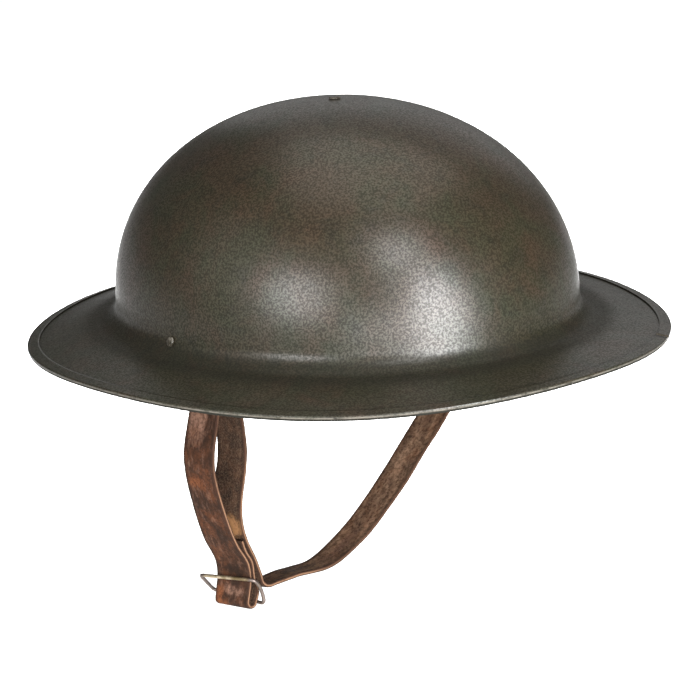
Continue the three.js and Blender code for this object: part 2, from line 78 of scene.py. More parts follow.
def smooth_noise(count: int, waves: int, seed: int) -> Array:
    """A smooth closed curve of values about -1 to 1: a sum of sines of 1 to `waves` cycles with seeded phases.

    Args:
        count: how many values along the curve.
        waves: the highest number of cycles.
        seed: seed of the phases.

    Returns:
        Array of `count` values.
    """
    rng = np.random.default_rng(seed)
    cycles = np.arange(1, waves + 1)
    phase = rng.uniform(0, TURN, waves)
    weight = rng.uniform(0.4, 1.0, waves)
    turn = np.linspace(0, TURN, count, endpoint=False)
    total = (weight * np.sin(turn[:, None] * cycles + phase)).sum(axis=1)
    return total / np.abs(total).max()


@dataclass
class Skin:
    """A closed surface on a grid of points, whose columns run round a section.

    Attributes:
        points: (rows, columns, 3) in millimetres.
        is_ring: the last row joins the first.
        poles: a point that closes the first row and one that closes the last, or none for a strip across each end.
        uv: (rows, columns, 2), or none.
        values: named values, (rows, columns) each.
    """

    points: Array
    is_ring: bool = False
    poles: tuple[Array, Array] | None = None
    uv: Array | None = None
    values: dict[str, Array] = field(default_factory=dict)

    def vertices(self) -> Array:
        """The grid's points in one list, and the poles after them."""
        flat = self.points.reshape(-1, 3)
        return flat if self.poles is None else np.concatenate([flat, np.array(self.poles)])

    def spread(self, grid: Array) -> Array:
        """Values of the grid in one list, and for each pole the mean of its row."""
        flat = grid.reshape(-1, *grid.shape[2:])
        if self.poles is None:
            return flat
        return np.concatenate([flat, grid[[0, -1]].mean(axis=1)])

    def faces(self) -> list[Array]:
        """Quads between rows, and triangles or quads at the ends, as index arrays turned outwards."""
        rows, columns = self.points.shape[:2]
        row = np.arange(rows if self.is_ring else rows - 1)[:, None]
        column = np.arange(columns)
        after = (column + 1) % columns
        below = (row + 1) % rows
        quads = np.stack(np.broadcast_arrays(
            row * columns + column, row * columns + after, below * columns + after, below * columns + column,
        ), axis=-1).reshape(-1, 4)
        made = [quads]
        if self.poles is not None:
            first, last = rows * columns, rows * columns + 1
            base = (rows - 1) * columns
            made.append(np.stack([np.full(columns, first), after, column], axis=-1))
            made.append(np.stack([np.full(columns, last), base + column, base + after], axis=-1))
        elif not self.is_ring:
            half = columns // 2
            i = np.arange(half - 1)
            strip = np.stack([i + 1, i, columns - 1 - i, columns - 2 - i], axis=-1)
            made.append(strip)
            made.append(strip[:, ::-1] + (rows - 1) * columns)
        points = self.vertices()
        corners = [points[faces] for faces in made]
        volume = sum(
            np.einsum("ij,ij->", c[:, 0], np.cross(c[:, k], c[:, k + 1]))
            for c in corners for k in range(1, c.shape[1] - 1)
        )
        return made if volume > 0 else [faces[:, ::-1] for faces in made]


def make_piece(name: str, skins: list[Skin]) -> bpy.types.Object:
    """One object from closed skins, in metres, smoothly shaded.

    Args:
        name: the object's name.
        skins: its closed surfaces; all carry the same kinds of values.

    Returns:
        The object, at the origin.
    """
    first = 0
    faces: list[list[int]] = []
    for skin in skins:
        for group in skin.faces():
            faces += (group + first).tolist()
        first += len(skin.vertices())
    mesh = bpy.data.meshes.new(name)
    mesh.from_pydata(np.concatenate([skin.vertices() for skin in skins]) * MM, [], faces)
    for key in skins[0].values:
        layer = mesh.attributes.new(key, "FLOAT", "POINT")
        layer.data.foreach_set("value", np.concatenate([s.spread(s.values[key]) for s in skins]).astype(np.float32))
    if skins[0].uv is not None:
        corner = np.zeros(len(mesh.loops), np.int32)
        mesh.loops.foreach_get("vertex_index", corner)
        spread = np.concatenate([s.spread(s.uv) for s in skins])[corner]
        mesh.uv_layers.new(name="UVMap").data.foreach_set("uv", spread.astype(np.float32).ravel())
    mesh.polygons.foreach_set("use_smooth", np.ones(len(mesh.polygons), bool))
    mesh.update()
    piece = bpy.data.objects.new(name, mesh)
    bpy.context.scene.collection.objects.link(piece)
    return piece


def tube(path: Array, radius: float, reference: Array, sides: int = 16) -> Skin:
    """Round wire along a closed path: a circle carried along it, square to the path's direction.

    Args:
        path: (points, 3) middle of the wire.
        radius: of the wire.
        reference: a direction that stays across the path.
        sides: points round the wire.

    Returns:
        The wire's skin.
    """
    along = unit(np.roll(path, -1, axis=0) - np.roll(path, 1, axis=0))
    side = unit(np.cross(reference, along))
    up = np.cross(along, side)
    turn = (np.arange(sides) + 0.5) * TURN / sides
    ring = side[:, None] * np.cos(turn)[None, :, None] + up[:, None] * np.sin(turn)[None, :, None]
    return Skin(path[:, None] + radius * ring, is_ring=True)


def revolve(profile: Array, centre: Array, axis: Array, sides: int = 40) -> Skin:
    """A profile of (radius, height) turned round an axis; its first and last points lie on the axis.

    Args:
        profile: (points, 2), radius and height along the axis.
        centre: where height is nought.
        axis: direction of the height.
        sides: points round the axis.

    Returns:
        The turned skin.
    """
    axis = unit(np.asarray(axis, float))
    side = unit(np.cross(axis, [0.3, 0.5, 0.8]))
    other = np.cross(axis, side)
    turn = np.arange(sides) * TURN / sides
    spoke = side * np.cos(turn)[:, None] + other * np.sin(turn)[:, None]
    inner = profile[1:-1]
    points = centre + inner[:, :1, None] * spoke + inner[:, 1:, None] * axis
    return Skin(points, poles=(centre + profile[0, 1] * axis, centre + profile[-1, 1] * axis))


def rounded_path(half_length: float, half_height: float, corner: float, straight: int, curve: int) -> Array:
    """Closed rectangle with round corners, as plane coordinates.

    Args:
        half_length: half its first side.
        half_height: half its second side.
        corner: radius of its corners.
        straight: steps on each straight side.
        curve: steps on each corner.

    Returns:
        (points, 2) array.
    """
    middles = np.array([[1, 1], [-1, 1], [-1, -1], [1, -1]]) * [half_length - corner, half_height - corner]
    turn = (np.arange(4)[:, None] + np.linspace(0, 1, curve + 1)) * math.pi / 2
    arcs = middles[:, None] + corner * np.stack([np.cos(turn), np.sin(turn)], axis=-1)
    share = np.linspace(0, 1, straight + 1)[1:-1, None]
    sides = arcs[:, -1:, :] * (1 - share) + np.roll(arcs, -1, axis=0)[:, :1, :] * share
    return np.concatenate([arcs, sides], axis=1).reshape(-1, 2)


# ---- the steel


@dataclass
class SteelForm:
    """Sizes of the pressed bowl and brim, in millimetres and radians, and the surface they give."""

    length: float = 316.0
    width: float = 284.0
    reach: float = 40.5
    slope: float = math.radians(12.8)
    lift: float = 2.1
    wave: float = 1.2
    back: float = 1.4
    squareness: float = 2.075
    height: float = 108.2
    fullness: float = 2.083
    fillet: float = 10.0
    sheet: float = 1.0
    around: int = 288
    brim_rows: int = 22
    fillet_rows: int = 12
    bowl_rows: int = 64

    def __post_init__(self) -> None:
        """Works out the sizes that follow from the others."""
        self.mean = (self.length + self.width) / 4
        self.wall = self.mean - self.reach
        self.wall_x = self.width / 2 - self.reach
        self.rim_z = self.sheet - self.height
        self.fillet_middle = self.wall + self.fillet
        self.wall_z = (
            self.rim_z + (self.mean - self.fillet_middle) * math.tan(self.slope) + self.fillet / math.cos(self.slope)
        )

    def ring(self, radius: Array, base: Array, scale: Array, z: Array, angle: Array) -> Array:
        """Points of rings at angles. A ring is an oval whose half axes are its mean radius plus and minus a fixed
        share, squarer and wavier the nearer it is to the edge; on the bowl it is shrunk by scale.

        Args:
            radius: mean radius.
            base: mean radius before the offset along the normal.
            scale: below 1 on the bowl.
            z: height.
            angle: from +X towards +Y.

        Returns:
            Array of points, of the arguments' common shape.
        """
        share = np.clip((radius - self.wall) / self.reach, 0, 1)
        exponent = 2 + (self.squareness - 2) * share
        c, s = np.cos(angle), np.sin(angle)
        reach = (np.abs(c) ** exponent + np.abs(s) ** exponent) ** (-1 / exponent)
        half_width = (self.width / 2 - self.mean + base) * scale + radius - base
        half_length = (self.length / 2 - self.mean + base) * scale + radius - base
        height = z + share * (self.wave * np.cos(4 * angle) - self.lift * s)
        return np.stack(
            np.broadcast_arrays(half_width * reach * c, half_length * reach * s + share * self.back, height), axis=-1
        )

    def profile(self, edge: float) -> Array:
        """Rows of (radius, scale, z, normal out, normal up) from the edge over brim and fillet to the crown."""
        start = self.fillet_middle - self.fillet * math.sin(self.slope)
        radius = np.linspace(edge, start, self.brim_rows, endpoint=False)
        ones = np.ones_like(radius)
        brim = [radius, ones, self.rim_z + (self.mean - radius) * math.tan(self.slope),
                ones * math.sin(self.slope), ones * math.cos(self.slope)]
        turn = np.linspace(math.pi / 2 - self.slope, 0, self.fillet_rows, endpoint=False)
        fillet = [self.fillet_middle - self.fillet * np.cos(turn), np.ones_like(turn),
                  self.wall_z - self.fillet * np.sin(turn), np.cos(turn), np.sin(turn)]
        turn = np.linspace(0, math.pi / 2, self.bowl_rows, endpoint=False)
        rise = self.sheet - self.wall_z
        scale = np.cos(turn) ** (2 / self.fullness)
        lift = np.sin(turn) ** (2 / self.fullness)
        out = scale ** (self.fullness - 1) / self.wall
        up = lift ** (self.fullness - 1) / rise
        size = np.hypot(out, up)
        bowl = [np.full_like(turn, self.wall), scale, self.wall_z + rise * lift, out / size, up / size]
        return np.concatenate([np.array(brim), np.array(fillet), np.array(bowl)], axis=1).T

    def sheet_rows(self, edge: float, depth: float) -> Array:
        """The profile's rings, moved by a depth along their normals, as (rows, around, 3)."""
        rows = self.profile(edge)
        radius, scale, z, out, up = (rows[:, [i]] for i in range(5))
        angle = np.arange(self.around)[None] * TURN / self.around
        return self.ring(radius - depth * out, radius, scale, z - depth * up, angle)


@dataclass
class Shell:
    """Bowl and brim in one pressed sheet. Its paint dulls over the crease and is darkened there with painted shade,
    which fades back over the brim.
    """

    form: SteelForm
    rim_sheet: float = 0.4
    gap: float = 0.3
    # The next two shape the fold mask, which makes the paint rougher and carries painted shade.
    crease: float = 1.5
    crease_fade: float = 6.0

    def skin(self) -> Skin:
        """The outer face from crown to edge and the inner face back, with how deep in the fold each point is: the mask
        of the painted shade in the crease.
        """
        edge = self.form.mean - self.rim_sheet - self.gap
        outer = self.form.sheet_rows(edge, 0.0)[::-1]
        inner = self.form.sheet_rows(edge, self.form.sheet)
        points = np.concatenate([outer, inner])
        past = self.form.profile(edge)[:, 0] - self.form.wall
        fade = np.exp(-(np.maximum(past - self.form.fillet, 0) / self.crease_fade) ** 2)
        # The fold mask: painted shade in the crease, fading out over the brim.
        fold = np.clip(past / self.crease, 0, 1) * fade
        top = np.array([0, 0, self.form.sheet])
        return Skin(points, poles=(top, np.zeros(3)), values={
            "fold": np.broadcast_to(np.concatenate([fold[::-1], fold])[:, None], points.shape[:2]),
        })

    def build(self) -> bpy.types.Object:
        """Makes the shell in place of its plain solid."""
        piece = make_piece("shell_steel", [self.skin()])
        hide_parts("shell")
        return dress(piece, ShellPaint().material())


@dataclass
class Rim:
    """Folded channel over the brim's edge, butted on the left front."""

    form: SteelForm
    sheet: float = 0.4
    gap: float = 0.3
    depth: float = 5.5
    joint: float = math.radians(-59)
    joint_gap: float = 0.5
    lip_steps: int = 7
    fold_steps: int = 13
    lip_bevel: float = 0.09
    lip_round: float = 0.08
    fold_ease: float = 0.6
    worn_reach: float = 1.1
    waver: float = 0.03
    waver_waves: int = 23

    def section(self) -> tuple[Array, Array]:
        """Depth from the edge and height over the sheet's middle: the folded outside, then the inside back."""
        outer = self.form.sheet / 2 + self.gap + self.sheet
        inner = self.form.sheet / 2 + self.gap
        corner = (self.sheet + self.gap) / 2
        lip = np.linspace(self.depth - self.lip_round, corner + self.fold_ease, self.lip_steps)
        fold = np.linspace(math.pi / 2, -math.pi / 2, self.fold_steps)
        outside = np.concatenate([
            [[self.depth, outer - self.lip_bevel]],
            np.stack([lip, np.full_like(lip, outer)], axis=-1),
            np.stack([corner * (1 - np.cos(fold)), outer * np.sin(fold)], axis=-1),
            np.stack([lip[::-1], np.full_like(lip, -outer)], axis=-1),
            [[self.depth, -outer + self.lip_bevel]],
        ])
        inside = np.stack([
            np.concatenate([[self.depth], lip, np.full(self.fold_steps, self.sheet), lip[::-1], [self.depth]]),
            np.concatenate([
                np.full(self.lip_steps + 1, -inner), np.linspace(-inner, inner, self.fold_steps),
                np.full(self.lip_steps + 1, inner),
            ]),
        ], axis=-1)
        return outside, inside

    def skin(self) -> Skin:
        """The section carried round the edge, with the share of the fold's own edge at each point."""
        outside, inside = self.section()
        section = np.concatenate([outside, inside])
        turn = self.joint_gap / self.form.mean
        angle = np.linspace(self.joint + turn / 2, self.joint + TURN - turn / 2, self.form.around + 1)[:, None]
        depth, height = section[None, :, 0], section[None, :, 1]
        lip = depth * (1 + self.waver * smooth_noise(len(angle), self.waver_waves, seed=5)[:, None])
        depth = np.where(depth > self.depth / 2, np.minimum(lip, depth), depth)
        slope = self.form.slope
        base = self.form.mean - depth
        z = self.form.rim_z + depth * math.tan(slope) - self.form.sheet / 2 / math.cos(slope)
        points = self.form.ring(
            base + height * math.sin(slope), base, np.ones_like(base), z + height * math.cos(slope), angle
        )
        under = np.broadcast_to(np.clip(-height / np.abs(section[:, 1]).max(), -1, 1), depth.shape)
        edge = np.clip(1 - depth / self.worn_reach, 0, 1)
        return Skin(points, values={"edge": edge, "under": under})

    def build(self) -> bpy.types.Object:
        """Makes the rim in place of its plain solid."""
        piece = make_piece("rim_channel", [self.skin()])
        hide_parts("rim")
        return dress(piece, RimPaint().material())


# ---- rivets and bails


@dataclass
class Fastenings:
    """The three rivets of the shell and the two bails with their lugs."""

    form: SteelForm
    gap: float = 0.3
    shank: float = 1.3
    crown_head: tuple[float, float] = (2.8, 1.1)
    side_head: tuple[float, float] = (2.3, 1.0)
    clench: tuple[float, float] = (2.4, 0.8)
    edge_share: float = 0.25
    wire: float = 1.4
    rivet_turn: float = math.radians(18)
    barrel_drop: float = 7.2
    bail_length: float = 22.0
    bail_tilt: float = math.radians(48.5)
    bail_corner: float = 3.2
    bail_ease: float = 1.8
    lug_sheet: float = 1.2
    lug_width: float = 12.0
    lug_rise: float = 11.0
    strap_width: float = 18.5
    model_steps: int = 72
    dome_steps: int = 15
    crown_dent: float = 0.45
    side_dent: float = 0.15
    dent_share: float = 0.45
    head_bevel: float = 0.06
    clench_top: float = 0.15
    clench_end: float = 0.25
    plate_corner: float = 1.6
    plate_bevel: float = 0.12
    barrel_bevel: float = 0.3

    def __post_init__(self) -> None:
        """Works out where the side rivets, barrels and bars lie, as the model does."""
        form = self.form
        out, up = math.cos(self.rivet_turn), math.sin(self.rivet_turn)
        seat = form.fillet - math.sqrt(form.fillet ** 2 - self.side_head[0] ** 2)
        self.rivet_z = form.wall_z - form.fillet * up
        self.seat = (form.wall_x + form.fillet * (1 - out) + seat * out, self.rivet_z + seat * up)
        self.rivet_axis = (out, up)
        half_y = form.length / 2 - form.reach
        sagitta = form.wall_x * (1 - math.sqrt(1 - (self.lug_width / 2 / half_y) ** 2))
        sagitta += form.wall_x * (1 - math.cos(math.pi / self.model_steps))
        self.barrel_z = self.rivet_z - self.barrel_drop
        lift = max(0.0, self.barrel_z + self.lug_rise - form.wall_z) / (form.sheet - form.wall_z)
        lean = form.wall_x * (1 - (1 - lift ** form.fullness) ** (1 / form.fullness))
        self.lug_x = form.wall_x - form.sheet - self.gap - sagitta - lean
        self.barrel = self.wire + self.lug_sheet
        self.barrel_x = self.lug_x - self.lug_sheet / 2 - self.barrel
        self.bar_x = self.barrel_x - self.bail_length * math.sin(self.bail_tilt)
        self.bar_z = self.barrel_z - self.bail_length * math.cos(self.bail_tilt)

    def rivet(self, head: tuple[float, float], grip: float, centre: Array, axis: Array, dent: float) -> Skin:
        """A domed head over a grip and a flat clenched end under it.

        Args:
            head: radius and height of the head.
            grip: what the rivet holds together.
            centre: the face that the head lies on.
            axis: outwards.
            dent: depth of the hammer dent in the head's middle.

        Returns:
            The rivet's skin.
        """
        radius, height = head
        turn = np.linspace(0, math.pi / 2, self.dome_steps)
        dome = self.gap + height * (self.edge_share + (1 - self.edge_share) * np.cos(turn))
        across = radius * np.sin(turn)
        dome = dome - dent * np.exp(-(across / (self.dent_share * radius)) ** 2)
        low = -grip - self.gap
        foot, depth = self.clench
        ease, top, end = self.head_bevel, self.clench_top, self.clench_end
        rest = np.array([
            [radius, self.gap + ease], [radius - ease, self.gap], [self.shank, self.gap], [self.shank, low],
            [foot - top, low], [foot, low - top], [foot, low - depth + end], [foot - end, low - depth],
            [0, low - depth],
        ])
        return revolve(np.concatenate([np.stack([across, dome], axis=-1), rest]), np.asarray(centre, float), axis)

    def build_rivets(self) -> list[bpy.types.Object]:
        """Makes the crown rivet and the two side rivets."""
        paint = RivetPaint().material()
        crown = make_piece("crown_rivet_head", [
            self.rivet(self.crown_head, self.form.sheet, [0, 0, self.form.sheet], [0, 0, 1], self.crown_dent)
        ])
        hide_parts("crown_rivet")
        made = [dress(crown, paint)]
        (x, z), (out, up) = self.seat, self.rivet_axis
        grip = (x - self.lug_x + self.lug_sheet) / out + self.clench[0] * up / out
        for side in Side:
            name, sign = side.name.lower(), side.value
            skin = self.rivet(self.side_head, grip, [sign * x, 0, z], [sign * out, 0, up], self.side_dent)
            piece = make_piece(f"side_rivet_head_{name}", [skin])
            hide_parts(f"side_rivet_{name}")
            made.append(dress(piece, paint))
        return made

    def plate(self, sign: int) -> Skin:
        """The lug's plate: a flat rounded tongue on the wall, carried from one face to the other, bevelled."""
        half, top, low = self.lug_width / 2, self.barrel_z + self.lug_rise, self.barrel_z
        middle = (top + low) / 2
        outline = rounded_path(half, (top - low) / 2, self.plate_corner, straight=4, curve=6)
        shrink = np.array([self.plate_bevel, 0.0, 0.0, self.plate_bevel])
        x = self.lug_x - self.lug_sheet * np.array([0.0, self.plate_bevel, 1 - self.plate_bevel, 1.0])
        flat = outline[None] * (1 - shrink[:, None, None] / half)
        points = np.stack(np.broadcast_arrays(
            sign * x[:, None], flat[..., 0], middle + flat[..., 1]
        ), axis=-1)
        return Skin(points, poles=(np.array([sign * x[0], 0, middle]), np.array([sign * x[-1], 0, middle])))

    def build_bails(self) -> list[bpy.types.Object]:
        """Makes both bails: a wire loop, the barrel that holds it and the plate on the wall."""
        steel = BailSteel().material()
        made = []
        half_width = self.strap_width / 2 + self.bail_ease + self.wire
        for side in Side:
            name, sign = side.name.lower(), side.value
            start = np.array([sign * self.barrel_x, 0, self.barrel_z])
            end = np.array([sign * self.bar_x, 0, self.bar_z])
            down = unit(end - start)
            flat = rounded_path(half_width, self.bail_length / 2, self.bail_corner, straight=8, curve=8)
            path = (start + end) / 2 + flat[:, :1] * np.array([0, 1, 0]) + flat[:, 1:] * down
            half, full, bevel = self.lug_width / 2, self.barrel, self.barrel_bevel
            ends = np.array([
                [0, -half], [full - bevel, -half], [full, -half + bevel], [full, half - bevel], [full - bevel, half],
                [0, half],
            ])
            skins = [
                tube(path, self.wire, np.cross([0, 1, 0], down)),
                revolve(ends, start, np.array([0, 1, 0])),
                self.plate(sign),
            ]
            piece = make_piece(f"bail_loop_{name}", skins)
            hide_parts(f"bail_{name}")
            made.append(dress(piece, steel))
        return made


# ---- the strap and its slide


Place = tuple[float, float, float, float, float]
Spot = tuple[float, float, float, float, float]


@dataclass
class StrapRoute:
    """Where the strap runs: places on the middle of the leather, in the plane through both bails.

    A place is across as a share of the bar's distance, down as a share of the drop, plies to add towards the
    wearer's left, yaw and roll in degrees.
    """

    bar_x: float
    bar_z: float
    rim_z: float
    wire: float = 1.4
    width: float = 18.5
    thick: float = 2.0
    gap: float = 0.3
    drop: float = 118.9
    fold: float = 5.0
    right_yaw: float = math.radians(2)
    bend_steps: int = 7
    end: tuple[Place, ...] = (
        (0.817, 0.330, 1, 0, 0), (0.868, 0.262, 1, 0, 0), (0.915, 0.192, 1, 0, 0), (0.968, 0.128, 1, 0, 0),
    )
    chin: tuple[Place, ...] = (
        (0.944, 0.112, 0, 0, 0), (0.906, 0.180, 0, 0, 0), (0.862, 0.250, 0, 0, 0), (0.796, 0.345, 0, 0, 0),
        (0.688, 0.442, 0, 0, 0), (0.571, 0.521, 0, 0, 0), (0.477, 0.579, 0, 0, 0.5), (0.358, 0.658, 0, 0, 1),
        (0.255, 0.720, 0, 0, 1.5), (0.154, 0.776, 0, 0, 2.5), (0.012, 0.847, 0, 0, 3.5),
        (-0.144, 0.904, 0, 0, 5), (-0.247, 0.933, 0, 0, 6.5), (-0.329, 0.9445, 0, 0, 7.5),
        (-0.447, 0.942, 0, 1, 8), (-0.547, 0.937, 0, 2, 9), (-0.639, 0.939, 0, 4, 10), (-0.730, 0.940, 0, 8, 10),
        (-0.795, 0.937, 0, 12, 7), (-0.838, 0.920, 0, 16, 3), (-0.856, 0.895, 0, 17, 0),
    )
    inner: tuple[Place, ...] = (
        (-0.890, 0.878, 1, 17, 0), (-0.923, 0.804, 1, 16, 0), (-0.979, 0.708, 1, 14, 0), (-0.999, 0.625, 1, 12, 0),
        (-0.983, 0.544, 1, 8, 0), (-0.938, 0.427, 1, 5, 0), (-0.925, 0.347, 1, 5, 0), (-0.938, 0.210, 1, 4, 0),
        (-0.965, 0.120, 1, 2, 0),
    )
    outer: tuple[Place, ...] = (
        (-1.034, 0.130, -1, 3, 0), (-1.051, 0.195, -1, 6, 0), (-1.103, 0.336, -1, 8, 0), (-1.106, 0.417, -1, 8, 0),
        (-1.058, 0.577, -1, 11, 0), (-0.993, 0.716, -1, 14, 0), (-0.922, 0.811, -1, 16, 0),
        (-0.912, 0.879, -1, 17, 0), (-0.930, 0.940, -1, 17, 0),
    )
    loop: Place = (-0.939, 1, 0, 17, 0)
    tail: tuple[Place, ...] = (
        (-0.921, 0.935, 1, 17, 0), (-0.912, 0.880, 0, 17, 0), (-0.920, 0.811, 0, 16, 0), (-0.958, 0.759, 0, 15, 0),
        (-0.979, 0.712, 0, 14, 0),
    )

    @property
    def ply(self) -> float:
        """From one ply of leather to the next."""
        return self.thick + self.gap

    def places(self, rows: tuple[Place, ...]) -> Array:
        """Rows as (x, z, yaw, roll), in millimetres and radians."""
        table = np.array(rows, float)
        return np.stack([
            table[:, 0] * self.bar_x + table[:, 2] * self.ply,
            self.rim_z - table[:, 1] * self.drop,
            np.radians(table[:, 3]),
            np.radians(table[:, 4]),
        ], axis=-1)

    def bend(self, x: float, z: float, radius: float, start: float, stop: float, yaw: float) -> Array:
        """Places round a bend, on an arc from one turn to another measured from +X towards +Z."""
        turn = np.linspace(start, stop, self.bend_steps)
        return np.stack([
            x + radius * np.cos(turn), z + radius * np.sin(turn), np.full_like(turn, yaw), np.zeros_like(turn),
        ], axis=-1)

    def all_places(self) -> Array:
        """Every place from the riveted end to the tail."""
        fold_z = self.bar_z + self.wire + self.gap + self.thick / 2 - self.fold
        loop = self.places((self.loop,))[0]
        return np.concatenate([
            self.places(self.end),
            self.bend(self.bar_x, fold_z, self.fold, 0, math.pi, 0),
            self.places(self.chin),
            self.places(self.inner),
            self.bend(-self.bar_x, fold_z, self.fold, 0, math.pi, self.right_yaw),
            self.places(self.outer),
            self.bend(loop[0], loop[1] + self.thick / 2 + self.ply, self.ply, math.pi, TURN, loop[2]),
            self.places(self.tail),
        ])

    def stations(self, steps: int) -> tuple[Array, Array, Array, Array]:
        """Smooth stations on a centripetal curve through the places: each span is a cubic whose end slopes come
        from the roots of the distances to the neighbouring places.

        Args:
            steps: stations in each span.

        Returns:
            Middles (n, 3), directions (n, 3), yaw (n) and roll (n).
        """
        table = self.all_places()
        flat = table[:, :2]
        padded = np.concatenate([[2 * flat[0] - flat[1]], flat, [2 * flat[-1] - flat[-2]]])
        p0, p1, p2, p3 = padded[:-3], padded[1:-2], padded[2:-1], padded[3:]
        d0, d1, d2 = (np.linalg.norm(b - a, axis=1, keepdims=True) ** 0.5 for a, b in ((p0, p1), (p1, p2), (p2, p3)))
        t1 = ((p1 - p0) / d0 - (p2 - p0) / (d0 + d1) + (p2 - p1) / d1) * d1
        t2 = ((p2 - p1) / d1 - (p3 - p1) / (d1 + d2) + (p3 - p2) / d2) * d1
        a, b = 2 * p1 - 2 * p2 + t1 + t2, -3 * p1 + 3 * p2 - 2 * t1 - t2
        s = np.linspace(0, 1, steps, endpoint=False)[None, :, None]
        a, b, c, d = (k[:, None] for k in (a, b, t1, p1))
        middle = (((a * s + b) * s + c) * s + d).reshape(-1, 2)
        along = ((3 * a * s + 2 * b) * s + c).reshape(-1, 2)
        middle = np.concatenate([middle, flat[-1:]])
        along = unit(np.concatenate([along, t2[-1:]]))
        place = np.arange(len(middle)) / steps
        turns = [np.interp(place, np.arange(len(table)), table[:, k]) for k in (2, 3)]
        lay = [np.stack([v[:, 0], np.zeros(len(v)), v[:, 1]], axis=-1) for v in (middle, along)]
        return lay[0], lay[1], turns[0], turns[1]


@dataclass
class Strap:
    """The chin strap: one length of leather from the left bail under the chin to the slide.

    A spot of wear is a place on the route, a place across from -1 to 1, its reach along in millimetres, its reach
    across, and its strength.
    """

    route: StrapRoute
    round_edge: float = 0.55
    steps: int = 6
    edge_steps: int = 6
    face_steps: int = 24
    wander: float = 0.012
    wander_waves: int = 41
    thinning: float = 0.05
    thinning_waves: int = 67
    orange: tuple[Spot, ...] = (
        (51.3, -0.25, 3.5, 0.60, 1.0), (50.4, -0.85, 7.0, 0.22, 0.8), (52.6, -0.80, 6.0, 0.25, 0.6),
        (56.0, -0.70, 5.0, 0.30, 0.9), (58.6, -0.60, 4.0, 0.40, 1.0), (55.0, 0.15, 3.0, 0.30, 0.5),
    )
    pale: tuple[Spot, ...] = (
        (49.0, -0.25, 14.0, 0.70, 1.1), (55.8, 0.15, 2.6, 0.80, 0.85), (48.2, 0.75, 8.0, 0.20, 0.9),
        (22.0, 0.2, 18.0, 0.5, 0.6), (15.0, -0.2, 14.0, 0.5, 0.5),
    )
    stain: tuple[Spot, ...] = (
        (58.8, 0.25, 3.5, 0.45, 1.0), (54.8, 0.10, 9.0, 0.65, 1.0), (52.8, 0.35, 8.0, 0.50, 0.9),
        (48.4, 0.55, 6.0, 0.40, 0.9), (49.6, -0.05, 3.0, 0.25, 0.5),
    )
    rub: tuple[Spot, ...] = ((34.6, 0.10, 5.0, 0.95, 1.6),)

    def section(self) -> tuple[Array, Array, Array]:
        """Half section from one edge to the other: place across (-1 to 1), half thickness, and share of cut edge."""
        half = self.route.width / 2
        turn = np.linspace(0, math.pi / 2, self.edge_steps)
        across = half - self.round_edge * (1 - np.sin(turn))
        rise = self.route.thick / 2 - self.round_edge * (1 - np.cos(turn))
        flat = np.linspace(half - self.round_edge, -(half - self.round_edge), self.face_steps + 2)[1:-1]
        reach = np.concatenate([across[::-1], flat, -across])
        height = np.concatenate([rise[::-1], np.full(self.face_steps, self.route.thick / 2), rise])
        cut = np.clip((np.abs(reach) - (half - self.round_edge)) / self.round_edge, 0, 1)
        return reach, height, cut

    def skin(self) -> Skin:
        """The section carried along the route, its upper face first and its lower face back.

        Across the strap runs a vector turned by yaw and roll from -Y; the thickness runs square to the route."""
        middle, along, yaw, roll = self.route.stations(self.steps)
        reach, height, cut = self.section()
        across = unit(np.stack([np.sin(yaw), -np.cos(yaw) * np.cos(roll), np.sin(roll)], axis=-1))
        normal = unit(np.stack([along[:, 2], np.zeros(len(along)), -along[:, 0]], axis=-1))
        count = len(middle)
        reach = reach[None] * (1 - self.wander * (1 + smooth_noise(count, self.wander_waves, seed=3))[:, None])
        height = height[None] * (1 - self.thinning * (1 + smooth_noise(count, self.thinning_waves, seed=8))[:, None])
        spread = np.concatenate([reach, reach[:, ::-1]], axis=1)
        lift = np.concatenate([height, -height[:, ::-1]], axis=1)
        points = middle[:, None] + spread[..., None] * across[:, None] + lift[..., None] * normal[:, None]
        length = np.concatenate([[0], np.cumsum(np.linalg.norm(np.diff(middle, axis=0), axis=1))])
        uv = np.stack(np.broadcast_arrays(spread * MM, length[:, None] * MM), axis=-1)
        place = spread / (self.route.width / 2)
        cuts = np.broadcast_to(np.concatenate([cut, cut[::-1]])[None], lift.shape)
        return Skin(points, uv=uv, values={
            "face": np.sign(lift), "cut": cuts, "across": place,
            **{kind.value: self.worn(getattr(self, kind.value), length, place) for kind in Wear},
        })

    def worn(self, spots: tuple[Spot, ...], length: Array, place: Array) -> Array:
        """How worn each point is: the greatest of several round falls, each e to the minus square of distance.

        Args:
            spots: the spots of one kind of wear.
            length: distance along the strap at each station.
            place: place across at each point.

        Returns:
            The wear at each point, 0 where there is none.
        """
        table = np.array(spots, float)
        where = np.interp(table[:, 0] * self.steps, np.arange(len(length)), length)
        down = ((length[:, None, None] - where) / table[:, 2]) ** 2
        return (table[:, 4] * np.exp(-down - ((place[..., None] - table[:, 1]) / table[:, 3]) ** 2)).max(axis=-1)

    def build(self) -> bpy.types.Object:
        """Makes the strap in place of its plain solid."""
        skin = self.skin()
        LOG.info("strap length %.1f mm", skin.uv[..., 1].max() / MM)
        piece = make_piece("strap_leather", [skin])
        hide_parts("chin_strap")
        return dress(piece, Leather().material())


